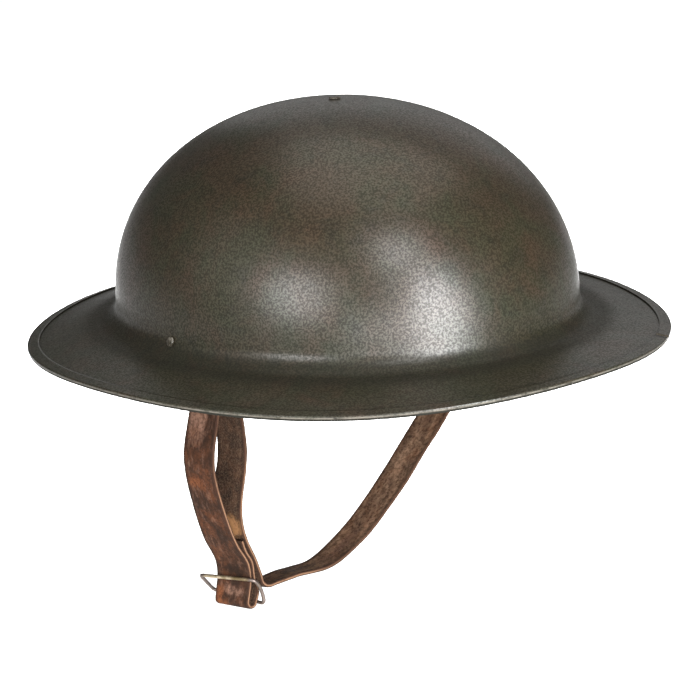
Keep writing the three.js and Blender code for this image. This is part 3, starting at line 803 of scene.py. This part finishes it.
@dataclass
class Slide:
    """The wire slide that the strap is drawn up with; its near bar lies at one place of the route's outer ply."""

    route: StrapRoute
    hold: int = 7
    wire: float = 0.85
    length: float = 32.0
    height: float = 15.6
    bow: float = 1.8
    corner: float = 1.9
    tilt: float = math.radians(32)
    twist: float = math.radians(6)
    yaw: float = math.radians(17)
    rack: float = math.radians(4)
    shift: float = 2.4
    wind: float = math.radians(4)

    def down(self, tilt: Array, across: Array) -> Array:
        """Direction from the near bar to the far bar at a tilt from straight down, pushed to the front by rack."""
        tilt = np.asarray(tilt, float)
        plain = np.stack([
            np.sin(tilt) * math.cos(self.yaw), np.sin(tilt) * math.sin(self.yaw), -np.cos(tilt),
        ], axis=-1)
        return unit(plain + across * math.sin(self.rack))

    def skin(self) -> Skin:
        """A rounded rectangle of wire, wound out of its plane: its two ends tilt differently, its near bar rises to
        the front, and its front end bows towards the head."""
        across = np.array([math.sin(self.yaw), -math.cos(self.yaw), 0])
        inwards = unit(np.cross(self.down(self.tilt, across), across))
        near = self.route.places((self.route.outer[self.hold],))[0]
        bar = np.array([near[0] - self.route.thick / 2 - self.route.gap - self.wire, 0, near[1]]) - across * self.shift
        half_height, half_length = self.height / 2 - self.wire, self.length / 2 - self.wire
        flat = rounded_path(half_length, half_height, self.corner, straight=16, curve=8)
        strap_half = self.route.width / 2
        end = np.maximum(0, flat[:, 0] - strap_half) / (half_length - strap_half)
        bow = -self.bow * end * (1 - (flat[:, 1] / half_height) ** 2)
        tilt = self.tilt - self.twist * flat[:, 0] / half_length
        rise = flat[:, 0] * math.sin(self.wind) * (1 - flat[:, 1] / half_height) / 2
        path = (
            bar + flat[:, :1] * across + (flat[:, 1:] + half_height) * self.down(tilt, across) + bow[:, None] * inwards
            + rise[:, None] * np.array([0, 0, 1])
        )
        skin = tube(path, self.wire, inwards)
        ends = np.clip((np.abs(flat[:, :1]) - strap_half) / (half_length - strap_half), 0, 1)
        far = (flat[:, 1:] + half_height) / (2 * half_height)
        skin.values = {"end": np.broadcast_to(np.maximum(ends, far), skin.points.shape[:2])}
        return skin

    def build(self) -> bpy.types.Object:
        """Makes the slide in place of its plain solid."""
        piece = make_piece("slide_wire", [self.skin()])
        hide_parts("buckle")
        return dress(piece, SlideBrass().material())


# ---- finishes


class Wiring:
    """Adds nodes to one tree and joins their sockets."""

    def __init__(self, tree: bpy.types.NodeTree) -> None:
        """Takes the tree to work in."""
        self.tree = tree

    def feed(self, node: bpy.types.Node, sockets: dict) -> None:
        """Feeds a node's sockets, named or numbered, with other sockets, numbers or colours."""
        for key, value in sockets.items():
            socket = node.inputs[key]
            if isinstance(value, Socket):
                self.tree.links.new(value, socket)
            else:
                socket.default_value = (*value, 1.0) if np.ndim(value) and socket.type == "RGBA" else value

    def add(self, kind: str, sockets: dict | None = None, **settings: object) -> bpy.types.Node:
        """Adds a node, sets its settings and feeds its sockets."""
        node = self.tree.nodes.new(f"ShaderNode{kind}")
        for key, value in settings.items():
            setattr(node, key, value)
        self.feed(node, sockets or {})
        return node

    def place(self) -> Socket:
        """The piece's own coordinates, in metres."""
        return self.add("TexCoord").outputs["Object"]

    def axis(self, vector: Socket, name: str) -> Socket:
        """One coordinate of a place."""
        return self.add("SeparateXYZ", {"Vector": vector}).outputs[name]

    def value(self, name: str) -> Socket:
        """A named value that the piece's mesh carries."""
        return self.add("Attribute", attribute_name=name).outputs["Fac"]

    def noise(self, vector: Socket, size: float, detail: float) -> Socket:
        """Noise whose patches are about `size` millimetres."""
        return self.add("TexNoise", {
            "Vector": vector, "Scale": 1 / (size * MM), "Detail": detail, "Roughness": 0.55, "Distortion": 0.0,
        }).outputs["Fac"]

    def span(self, value: Socket, low: float, high: float, to_low: float = 0.0, to_high: float = 1.0) -> Socket:
        """Maps low to high smoothly onto another range, clamped."""
        return self.add("MapRange", {
            "Value": value, "From Min": low, "From Max": high, "To Min": to_low, "To Max": to_high,
        }, interpolation_type="SMOOTHSTEP").outputs["Result"]

    def maths(self, what: str, *terms: object) -> Socket:
        """One sum of numbers or sockets."""
        return self.add("Math", dict(enumerate(terms)), operation=what).outputs[0]

    def times(self, value: Socket, by: object) -> Socket:
        """A value times a number or another value."""
        return self.maths("MULTIPLY", value, by)

    def mix(self, factor: object, under: object, over: object) -> Socket:
        """One colour over another by a mask; the Mix node's colour sockets are its sixth, seventh and third."""
        return self.add("Mix", {0: factor, 6: under, 7: over}, data_type="RGBA").outputs[2]


def shared_group(name: str, takes: dict[str, tuple[str, float]], gives: dict[str, str]) -> tuple:
    """A new shader node group with named sockets, and the wiring inside it.

    Args:
        name: the group's name.
        takes: input names with their socket type and first value.
        gives: output names with their socket type.

    Returns:
        The tree, its wiring, its input node and its output node.
    """
    tree = bpy.data.node_groups.new(name, "ShaderNodeTree")
    for key, (kind, first) in takes.items():
        socket = tree.interface.new_socket(key, in_out="INPUT", socket_type=kind)
        if kind == "NodeSocketFloat":
            socket.default_value = first
    for key, kind in gives.items():
        tree.interface.new_socket(key, in_out="OUTPUT", socket_type=kind)
    return tree, Wiring(tree), tree.nodes.new("NodeGroupInput"), tree.nodes.new("NodeGroupOutput")


def grain_group() -> bpy.types.NodeTree:
    """Fine grains: two noises, one 2.7 times finer, joined into a height, and a mask of the highest grains."""
    if "fine_grain" in bpy.data.node_groups:
        return bpy.data.node_groups["fine_grain"]
    tree, w, start, end = shared_group(
        "fine_grain",
        {"Vector": ("NodeSocketVector", 0), "Scale": ("NodeSocketFloat", 1000.0),
         "Sharpness": ("NodeSocketFloat", 0.5)},
        {"Height": "NodeSocketFloat", "Peaks": "NodeSocketFloat"},
    )
    vector, scale = start.outputs["Vector"], start.outputs["Scale"]
    coarse = w.add("TexNoise", {"Vector": vector, "Scale": scale, "Detail": 2.0, "Roughness": 0.6}).outputs["Fac"]
    fine = w.add("TexNoise", {"Vector": vector, "Scale": w.times(scale, 2.7), "Detail": 1.0}).outputs["Fac"]
    w.feed(end, {
        "Height": w.maths("ADD", coarse, w.times(fine, start.outputs["Sharpness"])),
        "Peaks": w.span(coarse, 0.40, 0.62),
    })
    return tree


def patch_group() -> bpy.types.NodeTree:
    """Cloudy patches: a warped noise of Scale cut between two levels, broken up by a finer one."""
    if "cloudy_patches" in bpy.data.node_groups:
        return bpy.data.node_groups["cloudy_patches"]
    tree, w, start, end = shared_group(
        "cloudy_patches",
        {"Vector": ("NodeSocketVector", 0), "Scale": ("NodeSocketFloat", 30.0), "Level": ("NodeSocketFloat", 0.5),
         "Softness": ("NodeSocketFloat", 0.15)},
        {"Mask": "NodeSocketFloat"},
    )
    noise = w.add("TexNoise", {"Vector": start.outputs["Vector"], "Scale": start.outputs["Scale"], "Detail": 5.0,
                               "Roughness": 0.62, "Distortion": 0.6})
    level, soft = start.outputs["Level"], start.outputs["Softness"]
    w.feed(end, {"Mask": w.span(
        noise.outputs["Fac"], w.maths("SUBTRACT", level, soft), w.maths("ADD", level, soft)
    )})
    return tree


@dataclass(frozen=True)
class Cloud:
    """Cloudy patches: their size in millimetres, the noise level they are cut at, their softness and strength."""

    size: float
    level: float
    soft: float
    strength: float = 1.0


class Finish:
    """A material with one Principled shader, and the shared effects that finishes place in it."""

    name: str = "finish"

    def material(self) -> bpy.types.Material:
        """The finish as a material."""
        made = bpy.data.materials.new(self.name)
        made.use_nodes = True
        self.wire(Wiring(made.node_tree), made.node_tree.nodes["Principled BSDF"])
        return made

    def wire(self, w: Wiring, shader: bpy.types.Node) -> None:
        """Feeds the shader, each finish in its own way."""
        raise NotImplementedError

    def patches(self, w: Wiring, vector: Socket, cloud: Cloud) -> Socket:
        """Mask of cloudy patches."""
        mask = w.add("Group", {
            "Vector": vector, "Scale": 1 / (cloud.size * MM), "Level": cloud.level, "Softness": cloud.soft,
        }, node_tree=patch_group()).outputs["Mask"]
        return mask if cloud.strength == 1.0 else w.times(mask, cloud.strength)

    def grain(self, w: Wiring, vector: Socket, size: float, sharpness: float) -> bpy.types.Node:
        """Fine grains of about `size` millimetres."""
        sockets = {"Vector": vector, "Scale": 1 / (size * MM), "Sharpness": sharpness}
        return w.add("Group", sockets, node_tree=grain_group())

    def bump(self, w: Wiring, height: Socket, depth: float, under: Socket | None = None) -> Socket:
        """Normal from a height of 0 to 1 that stands `depth` millimetres deep, over another normal or none."""
        sockets = {"Height": height, "Strength": 1.0, "Distance": depth * MM}
        if under is not None:
            sockets["Normal"] = under
        return w.add("Bump", sockets).outputs["Normal"]


@dataclass(frozen=True)
class ShellPaint(Finish):
    """Old satin paint with sand in it, brown and green by turns, greener low down, shiny on each grain.

    Spans are pairs of values, heights in metres; shares say how far a colour goes over what is under it.
    """

    name: str = "shell_paint"
    brown: Colour = (0.039, 0.0265, 0.0155)
    green: Colour = (0.0265, 0.027, 0.0135)
    warm: Colour = (0.050, 0.027, 0.0155)
    # Also the colour of the painted shade in the fold and under the rim, besides smudges and pits.
    dark: Colour = (0.009, 0.009, 0.006)
    bare: Colour = (0.22, 0.20, 0.17)
    greens: Cloud = Cloud(34, 0.53, 0.16)
    rubs: Cloud = Cloud(22, 0.58, 0.12, 0.55)
    smudges: Cloud = Cloud(9, 0.60, 0.10, 0.40)
    sheens: Cloud = Cloud(16, 0.5, 0.2)
    low_span: Span = (-0.062, -0.098)
    low_share: float = 0.55
    pit_share: float = 0.65
    # Shares of the painted shade: how strongly the fold mask works, and how far it darkens the colour.
    crease_shade_share: float = 0.6
    painted_shade_share: float = 0.85
    dull_rough: float = 0.4
    bare_metal: float = 0.5
    rough: Span = (0.30, 0.37)
    coat_gain: float = 0.72
    coat_least: float = 0.25
    coat_rough: float = 0.31
    coat_ior: float = 1.52
    specular: float = 0.22
    grain_size: float = 0.90
    grain_sharpness: float = 0.35
    grain_depth: float = 0.13

    def colour(self, w: Wiring, where: Socket, peaks: Socket) -> Socket:
        """Base colour: patches of brown and green, warm rubbed clouds, smudges, and darker pits between grains."""
        low = w.span(w.axis(where, "Z"), *self.low_span)
        shade = w.mix(self.patches(w, where, self.greens), self.brown, self.green)
        shade = w.mix(w.times(low, self.low_share), shade, self.green)
        shade = w.mix(self.patches(w, where, self.rubs), shade, self.warm)
        shade = w.mix(self.patches(w, where, self.smudges), shade, self.dark)
        return w.mix(w.maths("MULTIPLY_ADD", peaks, -self.pit_share, self.pit_share), shade, self.dark)

    def paint(self, w: Wiring, shader: bpy.types.Node, where: Socket, worn: Socket | None = None,
              dull_and_shaded: Socket | None = None) -> None:
        """Wires the paint to a shader.

        Args:
            w: the wiring.
            shader: the Principled shader.
            where: the piece's own coordinates.
            worn: mask where bare steel shows.
            dull_and_shaded: mask where the paint is rougher, with less coat, and darkened with painted shade.
        """
        grain = self.grain(w, where, self.grain_size, self.grain_sharpness)
        peaks = grain.outputs["Peaks"]
        shade = self.colour(w, where, peaks)
        rough = w.span(self.patches(w, where, self.sheens), 0, 1, *self.rough)
        clear = w.maths("MULTIPLY_ADD", peaks, self.coat_gain, self.coat_least)
        if dull_and_shaded is not None:
            # Painted shade: where the mask is, the colour darkens towards the dark colour.
            shade = w.mix(w.times(dull_and_shaded, self.painted_shade_share), shade, self.dark)
            rough = w.maths("MULTIPLY_ADD", dull_and_shaded, self.dull_rough, rough)
            clear = w.times(clear, w.maths("SUBTRACT", 1.0, dull_and_shaded))
        if worn is not None:
            shade = w.mix(worn, shade, self.bare)
            clear = w.maths("SUBTRACT", clear, worn)
            clear.node.use_clamp = True
            w.feed(shader, {"Metallic": w.times(worn, self.bare_metal)})
        w.feed(shader, {
            "Base Color": shade, "Roughness": rough, "Coat Weight": clear,
            "Normal": self.bump(w, grain.outputs["Height"], self.grain_depth),
            "Coat Roughness": self.coat_rough, "Coat IOR": self.coat_ior, "Specular IOR Level": self.specular,
        })

    def wire(self, w: Wiring, shader: bpy.types.Node) -> None:
        """Paint that is duller in the fold between bowl and brim, and darkened there with painted shade."""
        self.paint(w, shader, w.place(), dull_and_shaded=w.times(w.value("fold"), self.crease_shade_share))


@dataclass(frozen=True)
class RimPaint(ShellPaint):
    """The shell's paint, rubbed to bare steel in a line along the fold, and rougher and darkened with painted shade
    under it.
    """

    name: str = "rim_paint"
    line_top: Span = (-0.70, -0.40)
    line_foot: Span = (0.10, -0.15)
    line_edge: Span = (0.15, 0.7)
    line_gaps: Cloud = Cloud(7, 0.46, 0.12)
    line_share: float = 0.65
    # The span of the under value over which painted shade darkens the underside.
    under_shade_span: Span = (-0.2, 0.3)

    def wire(self, w: Wiring, shader: bpy.types.Node) -> None:
        """Paint with the worn line between two heights of the fold, broken up by patches, and painted shade on the
        underside.
        """
        where, under = w.place(), w.value("under")
        worn = w.times(w.span(under, *self.line_top), w.span(under, *self.line_foot))
        worn = w.times(worn, w.span(w.value("edge"), *self.line_edge))
        worn = w.times(worn, self.patches(w, where, self.line_gaps))
        # Painted shade: the rim's underside is darkened by the mask from the under value.
        self.paint(w, shader, where, worn=w.times(worn, self.line_share), dull_and_shaded=w.span(under, *self.under_shade_span))


@dataclass(frozen=True)
class RivetPaint(ShellPaint):
    """Painted rivets whose heads are rubbed through in spots."""

    name: str = "rivet_paint"
    grain_depth: float = 0.10
    bare_spots: Cloud = Cloud(1.6, 0.56, 0.08, 0.9)

    def wire(self, w: Wiring, shader: bpy.types.Node) -> None:
        """Paint with bare spots."""
        where = w.place()
        self.paint(w, shader, where, worn=self.patches(w, where, self.bare_spots))


@dataclass(frozen=True)
class BailSteel(Finish):
    """Dull drawn wire with brown stains."""

    name: str = "bail_steel"
    steel: Colour = (0.16, 0.145, 0.125)
    stain: Colour = (0.06, 0.035, 0.02)
    stains: Cloud = Cloud(4, 0.52, 0.12)
    metal: Span = (0.9, 0.2)
    rough: Span = (0.4, 0.7)
    grain_size: float = 0.4
    grain_sharpness: float = 0.5
    grain_depth: float = 0.02

    def wire(self, w: Wiring, shader: bpy.types.Node) -> None:
        """Bright steel between stains, each pair of values going from steel to stain."""
        where = w.place()
        stain = self.patches(w, where, self.stains)
        grain = self.grain(w, where, self.grain_size, self.grain_sharpness)
        w.feed(shader, {
            "Base Color": w.mix(stain, self.steel, self.stain), "Metallic": w.span(stain, 0, 1, *self.metal),
            "Roughness": w.span(stain, 0, 1, *self.rough),
            "Normal": self.bump(w, grain.outputs["Height"], self.grain_depth),
        })


@dataclass(frozen=True)
class SlideBrass(Finish):
    """Worn brass-plated wire: olive gold, cream where it is rubbed and grey-pink where the plating has gone."""

    name: str = "slide_brass"
    gold: Colour = (0.22, 0.165, 0.085)
    cream: Colour = (0.55, 0.45, 0.32)
    bare: Colour = (0.17, 0.135, 0.120)
    tarnish: Colour = (0.10, 0.07, 0.035)
    rubs: Cloud = Cloud(7, 0.54, 0.12)
    stains: Cloud = Cloud(1.6, 0.60, 0.08, 0.8)
    bare_span: Span = (0.25, 0.8)
    metal: Span = (0.85, 0.3)
    rough: Span = (0.36, 0.6)
    grain_size: float = 0.5
    grain_sharpness: float = 0.5
    grain_depth: float = 0.025

    def wire(self, w: Wiring, shader: bpy.types.Node) -> None:
        """Plating that goes towards the ends, with tarnish over all."""
        where = w.place()
        shade = w.mix(self.patches(w, where, self.rubs), self.gold, self.cream)
        shade = w.mix(w.span(w.value("end"), *self.bare_span), shade, self.bare)
        stain = self.patches(w, where, self.stains)
        grain = self.grain(w, where, self.grain_size, self.grain_sharpness)
        w.feed(shader, {
            "Base Color": w.mix(stain, shade, self.tarnish), "Metallic": w.span(stain, 0, 1, *self.metal),
            "Roughness": w.span(stain, 0, 1, *self.rough),
            "Normal": self.bump(w, grain.outputs["Height"], self.grain_depth),
        })


@dataclass(frozen=True)
class Leather(Finish):
    """Old brown leather: smooth grain side with scuffs, mottled flesh side, cut edges tan between burnished corners;
    the smooth side of the chin part and the left end is much lighter, as painted light.

    Spans are pairs of values of what they are named for, places in metres. Fibres and pores are a size in
    millimetres and a sharpness, swells a size and the noise's detail.
    """

    name: str = "strap_leather"
    brown: Colour = (0.052, 0.0225, 0.012)
    dark: Colour = (0.017, 0.010, 0.007)
    orange: Colour = (0.17, 0.058, 0.023)
    pale: Colour = (0.27, 0.150, 0.105)
    flesh: Colour = (0.090, 0.046, 0.028)
    flesh_dark: Colour = (0.026, 0.016, 0.012)
    flesh_light: Colour = (0.22, 0.145, 0.095)
    golden: Colour = (0.44, 0.22, 0.095)
    # Much lighter brown on the chin part and the left end: painted light for the light that part catches.
    chin: Colour = (0.36, 0.215, 0.135)
    cut_tan: Colour = (0.20, 0.110, 0.064)
    burnish: Colour = (0.036, 0.016, 0.010)
    specks: Cloud = Cloud(1.3, 0.54, 0.10, 0.55)
    flesh_clouds: Cloud = Cloud(7, 0.50, 0.16)
    flesh_specks: Cloud = Cloud(0.9, 0.56, 0.08, 0.6)
    fibre_share: float = 0.40
    worn_cut: Span = (0.5, 0.22)
    worn_ragged: Span = (0.9, 0.35)
    worn_span: Span = (0.12, 0.80)
    painted_light_chin_span: Span = (-0.076, -0.050)
    face_span: Span = (-0.1, 0.1)
    border_span: Span = (0.66, 0.94)
    border_share: float = 0.62
    burnish_span: Span = (0.2, 0.7)
    burnish_share: float = 0.8
    core_face: Span = (1.0, 0.55)
    core_cut: Span = (0.85, 0.98)
    core_low: tuple[float, float, float, float] = (-0.148, -0.168, 0.30, 1.0)
    core_right: tuple[float, float, float, float] = (-0.020, -0.045, 0.25, 1.0)
    core_gaps: Cloud = Cloud(4, 0.42, 0.14)
    stretch: float = 0.35
    fibres: Span = (0.7, 0.6)
    pores: Span = (0.5, 0.8)
    pore_depth: float = 0.10
    swells: Span = (4, 3)
    swell_depth: float = 0.45
    rough: Span = (0.85, 0.66)
    specular: float = 0.10

    def worn(self, w: Wiring, kind: Wear, where: Socket, size: float) -> Socket:
        """A kind of wear that the mesh carries, broken up by cloudy patches."""
        ragged = w.maths("MULTIPLY_ADD", self.patches(w, where, Cloud(size, *self.worn_cut)), *self.worn_ragged)
        return w.span(w.times(w.value(kind.value), ragged), *self.worn_span)

    def grain_side(self, w: Wiring, where: Socket, drawn: Socket) -> Socket:
        """Colour of the smooth side: painted light on the chin part, then clouds, then wear in its own places, then
        fine dark spots.

        Args:
            w: the wiring.
            where: the piece's own coordinates.
            drawn: the same along the strap, drawn out lengthwise.

        Returns:
            The colour.
        """
        # Painted light: the smooth side from the chin on to the left end takes the far lighter chin colour.
        shade = w.mix(w.span(w.axis(where, "X"), *self.painted_light_chin_span), self.brown, self.chin)
        for vector, cloud, colour in (
            (drawn, Cloud(8, 0.50, 0.14, 0.60), self.dark),
            (where, Cloud(2.6, 0.52, 0.12, 0.50), self.dark),
            (where, Cloud(11, 0.55, 0.14, 0.35), self.orange),
            (drawn, Cloud(2.2, 0.60, 0.12, 0.30), self.pale),
        ):
            shade = w.mix(self.patches(w, vector, cloud), shade, colour)
        for kind, vector, size, share, colour in (
            (Wear.PALE, drawn, 3, 0.75, self.pale),
            (Wear.ORANGE, drawn, 3, 0.85, self.orange),
            (Wear.STAIN, where, 4, 0.80, self.dark),
        ):
            shade = w.mix(w.times(self.worn(w, kind, vector, size), share), shade, colour)
        return w.mix(self.patches(w, where, self.specks), shade, self.dark)

    def flesh_side(self, w: Wiring, where: Socket, peaks: Socket) -> Socket:
        """Colour of the rough side: dark clouds, pale wear, light fibres, dark specks and the rubbed place."""
        shade = w.mix(self.patches(w, where, self.flesh_clouds), self.flesh, self.flesh_dark)
        shade = w.mix(w.times(self.worn(w, Wear.PALE, where, 4), 0.5), shade, self.pale)
        shade = w.mix(w.times(peaks, self.fibre_share), shade, self.flesh_light)
        shade = w.mix(self.patches(w, where, self.flesh_specks), shade, self.flesh_dark)
        return w.mix(w.times(self.worn(w, Wear.RUB, where, 2), 0.85), shade, self.golden)

    def core(self, w: Wiring, where: Socket, drawn: Socket, face: Socket, cut: Socket) -> Socket:
        """Mask of the tan middle of the cut edges, which fades upwards and towards the wearer's left.

        Args:
            w: the wiring.
            where: the piece's own coordinates.
            drawn: the same along the strap, drawn out lengthwise.
            face: 1 on the smooth side and -1 on the rough side.
            cut: share of cut edge.

        Returns:
            The mask.
        """
        core = w.times(w.span(w.maths("ABSOLUTE", face), *self.core_face), w.span(cut, *self.core_cut))
        core = w.times(core, w.span(w.axis(where, "Z"), *self.core_low))
        core = w.times(core, w.span(w.axis(where, "X"), *self.core_right))
        return w.times(core, w.span(self.patches(w, drawn, self.core_gaps), 0, 1, 0.45, 1.0))

    def wire(self, w: Wiring, shader: bpy.types.Node) -> None:
        """Both sides' colours by the face they are on, darker at the border, burnished and tan at the cut."""
        where = w.place()
        lay = w.add("UVMap", uv_map="UVMap").outputs["UV"]
        drawn = w.add("Mapping", {"Vector": lay, "Scale": (1.0, self.stretch, 1.0)}).outputs["Vector"]
        face, cut = w.value("face"), w.value("cut")
        border = w.span(w.maths("ABSOLUTE", w.value("across")), *self.border_span)
        peaks = self.grain(w, where, *self.fibres).outputs["Peaks"]
        shade = w.mix(
            w.span(face, *self.face_span), self.flesh_side(w, where, peaks), self.grain_side(w, where, drawn)
        )
        shade = w.mix(w.times(border, self.border_share), shade, self.dark)
        shade = w.mix(w.times(w.span(cut, *self.burnish_span), self.burnish_share), shade, self.burnish)
        normal = self.bump(w, self.grain(w, where, *self.pores).outputs["Height"], self.pore_depth)
        w.feed(shader, {
            "Base Color": w.mix(self.core(w, where, drawn, face, cut), shade, self.cut_tan),
            "Roughness": w.span(face, -1, 1, *self.rough),
            "Normal": self.bump(w, w.noise(where, *self.swells), self.swell_depth, normal),
            "Specular IOR Level": self.specular,
        })


@dataclass(frozen=True)
class PaleFloor(Finish):
    """Plain matt floor."""

    name: str = "pale_floor"
    white: Colour = (0.92, 0.92, 0.92)
    rough: float = 0.9
    specular: float = 0.1
    glow: float = 0.1

    def wire(self, w: Wiring, shader: bpy.types.Node) -> None:
        """One matt colour with a weak white glow."""
        w.feed(shader, {
            "Base Color": self.white, "Roughness": self.rough, "Specular IOR Level": self.specular,
            "Emission Color": (1, 1, 1), "Emission Strength": self.glow,
        })


def dress(piece: bpy.types.Object, finish: bpy.types.Material) -> bpy.types.Object:
    """Gives a piece its finish and slot and lets it ride on the model."""
    piece.data.materials.clear()
    piece.data.materials.append(finish)
    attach(piece, "root")
    return piece


# ---- camera, floor and light


@dataclass(frozen=True)
class Lamp:
    """A rectangular soft light.

    Attributes:
        name: the light's name.
        towards: direction from its target to the light.
        distance: how far away it is, in metres.
        size: its width and height.
        power: in watts.
        colour: its colour.
        target: what it faces.
        spread: how wide its beam is, in degrees.
    """

    name: str
    towards: Point
    distance: float
    size: Span
    power: float
    colour: Colour = (1, 1, 1)
    target: Point = (-0.03, -0.03, -0.08)
    spread: float = 180.0

    def build(self) -> bpy.types.Object:
        """Makes the light."""
        data = bpy.data.lights.new(self.name, "AREA")
        data.shape = "RECTANGLE"
        data.size, data.size_y = self.size
        data.energy = self.power
        data.color = self.colour
        data.spread = math.radians(self.spread)
        item = bpy.data.objects.new(self.name, data)
        bpy.context.scene.collection.objects.link(item)
        towards = Vector(self.towards).normalized()
        item.location = Vector(self.target) + towards * self.distance
        item.rotation_mode = "QUATERNION"
        item.rotation_quaternion = towards.to_track_quat("Z", "Y")
        return item


@dataclass
class Studio:
    """Camera at the picture's place, a pale floor well below, and soft lights."""

    eye: Point = (-0.73666, -0.87417, 0.19034)
    right: Point = (0.75436, -0.65457, -0.04973)
    up: Point = (0.20762, 0.16603, 0.96402)
    focal_pixels: float = 2507.16
    frame_pixels: float = 700.0
    sensor: float = 36.0
    far: float = 100.0
    floor_z: float = -0.75
    floor_half: float = 40.0
    floor_glow: float = 0.30
    sky: float = 0.08
    sweep_turn: float = math.radians(-39.5)
    lamps: tuple[Lamp, ...] = (
        Lamp("key", (-0.16, -0.91, 0.34), 2.0, (0.60, 0.60), 22, colour=(0.96, 0.98, 1.0)),
        Lamp("key_tall", (-0.15, -0.985, -0.10), 2.1, (1.00, 1.50), 78),
        Lamp("key_high", (-0.28, -0.66, 0.70), 2.0, (0.7, 0.7), 14),
        Lamp("side", (-0.948, -0.184, 0.259), 2.3, (0.95, 0.90), 30),
        Lamp("front", (-0.58, -0.81, -0.06), 2.4, (1.8, 0.9), 22),
        Lamp("above", (0.15, 0.10, 1.0), 2.4, (2.2, 2.2), 20, colour=(1.0, 0.96, 0.86)),
        Lamp("back", (0.72, 0.60, 0.42), 2.6, (2.2, 1.6), 3.8),
        Lamp("left", (-0.85, 0.35, 0.45), 2.8, (2.0, 2.0), 8, colour=(1.0, 0.95, 0.86)),
    )

    def camera(self) -> None:
        """Makes the camera from its own axes; its lens is the focal length in pixels over the frame's width."""
        data = bpy.data.cameras.new("camera")
        data.sensor_width = self.sensor
        data.lens = self.focal_pixels / self.frame_pixels * data.sensor_width
        data.clip_end = self.far
        item = bpy.data.objects.new("camera", data)
        bpy.context.scene.collection.objects.link(item)
        right, up = Vector(self.right).normalized(), Vector(self.up).normalized()
        back = right.cross(up).normalized()
        turn = Matrix((right, back.cross(right), back)).transposed()
        item.matrix_world = Matrix.Translation(self.eye) @ turn.to_4x4()
        bpy.context.scene.camera = item

    def floor(self) -> None:
        """Makes the floor."""
        mesh = bpy.data.meshes.new("floor")
        half = self.floor_half
        corners = np.array([[-half, -half], [half, -half], [half, half], [-half, half]])
        mesh.from_pydata(np.c_[corners, np.full(4, self.floor_z)], [], [[0, 1, 2, 3]])
        item = bpy.data.objects.new("floor", mesh)
        bpy.context.scene.collection.objects.link(item)
        item.data.materials.append(PaleFloor(glow=self.floor_glow).material())

    def build(self) -> None:
        """Makes the camera, the floor, the sky and the lights, the last one straight over the far floor."""
        self.camera()
        self.floor()
        world = bpy.data.worlds.new("sky")
        world.use_nodes = True
        world.node_tree.nodes["Background"].inputs["Color"].default_value = (1, 1, 1, 1)
        world.node_tree.nodes["Background"].inputs["Strength"].default_value = self.sky
        bpy.context.scene.world = world
        bpy.context.scene.view_settings.view_transform = "Standard"
        for lamp in self.lamps:
            lamp.build()
        sweep = Lamp("sweep", (0, 0, 1), 2.4, (1.8, 5.0), 110, target=(2.7, 3.2, self.floor_z), spread=45).build()
        sweep.rotation_mode = "XYZ"
        sweep.rotation_euler = (0, 0, self.sweep_turn)


def main() -> None:
    """Builds the studio and every piece in order, and reports each one."""
    logging.basicConfig(level=logging.INFO, format="%(name)s: %(message)s")
    form = SteelForm()
    Studio().build()
    fastenings = Fastenings(form)
    route = StrapRoute(fastenings.bar_x, fastenings.bar_z, form.rim_z)
    made = [Shell(form).build(), Rim(form).build(), *fastenings.build_rivets(), *fastenings.build_bails()]
    made += [Strap(route).build(), Slide(route).build()]
    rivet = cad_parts["strap_rivet"]
    rivet.data.materials.clear()
    rivet.data.materials.append(SlideBrass().material())
    for piece in made:
        LOG.info("%s: %d faces", piece.name, len(piece.data.polygons))


if __name__ == "__main__":
    main()
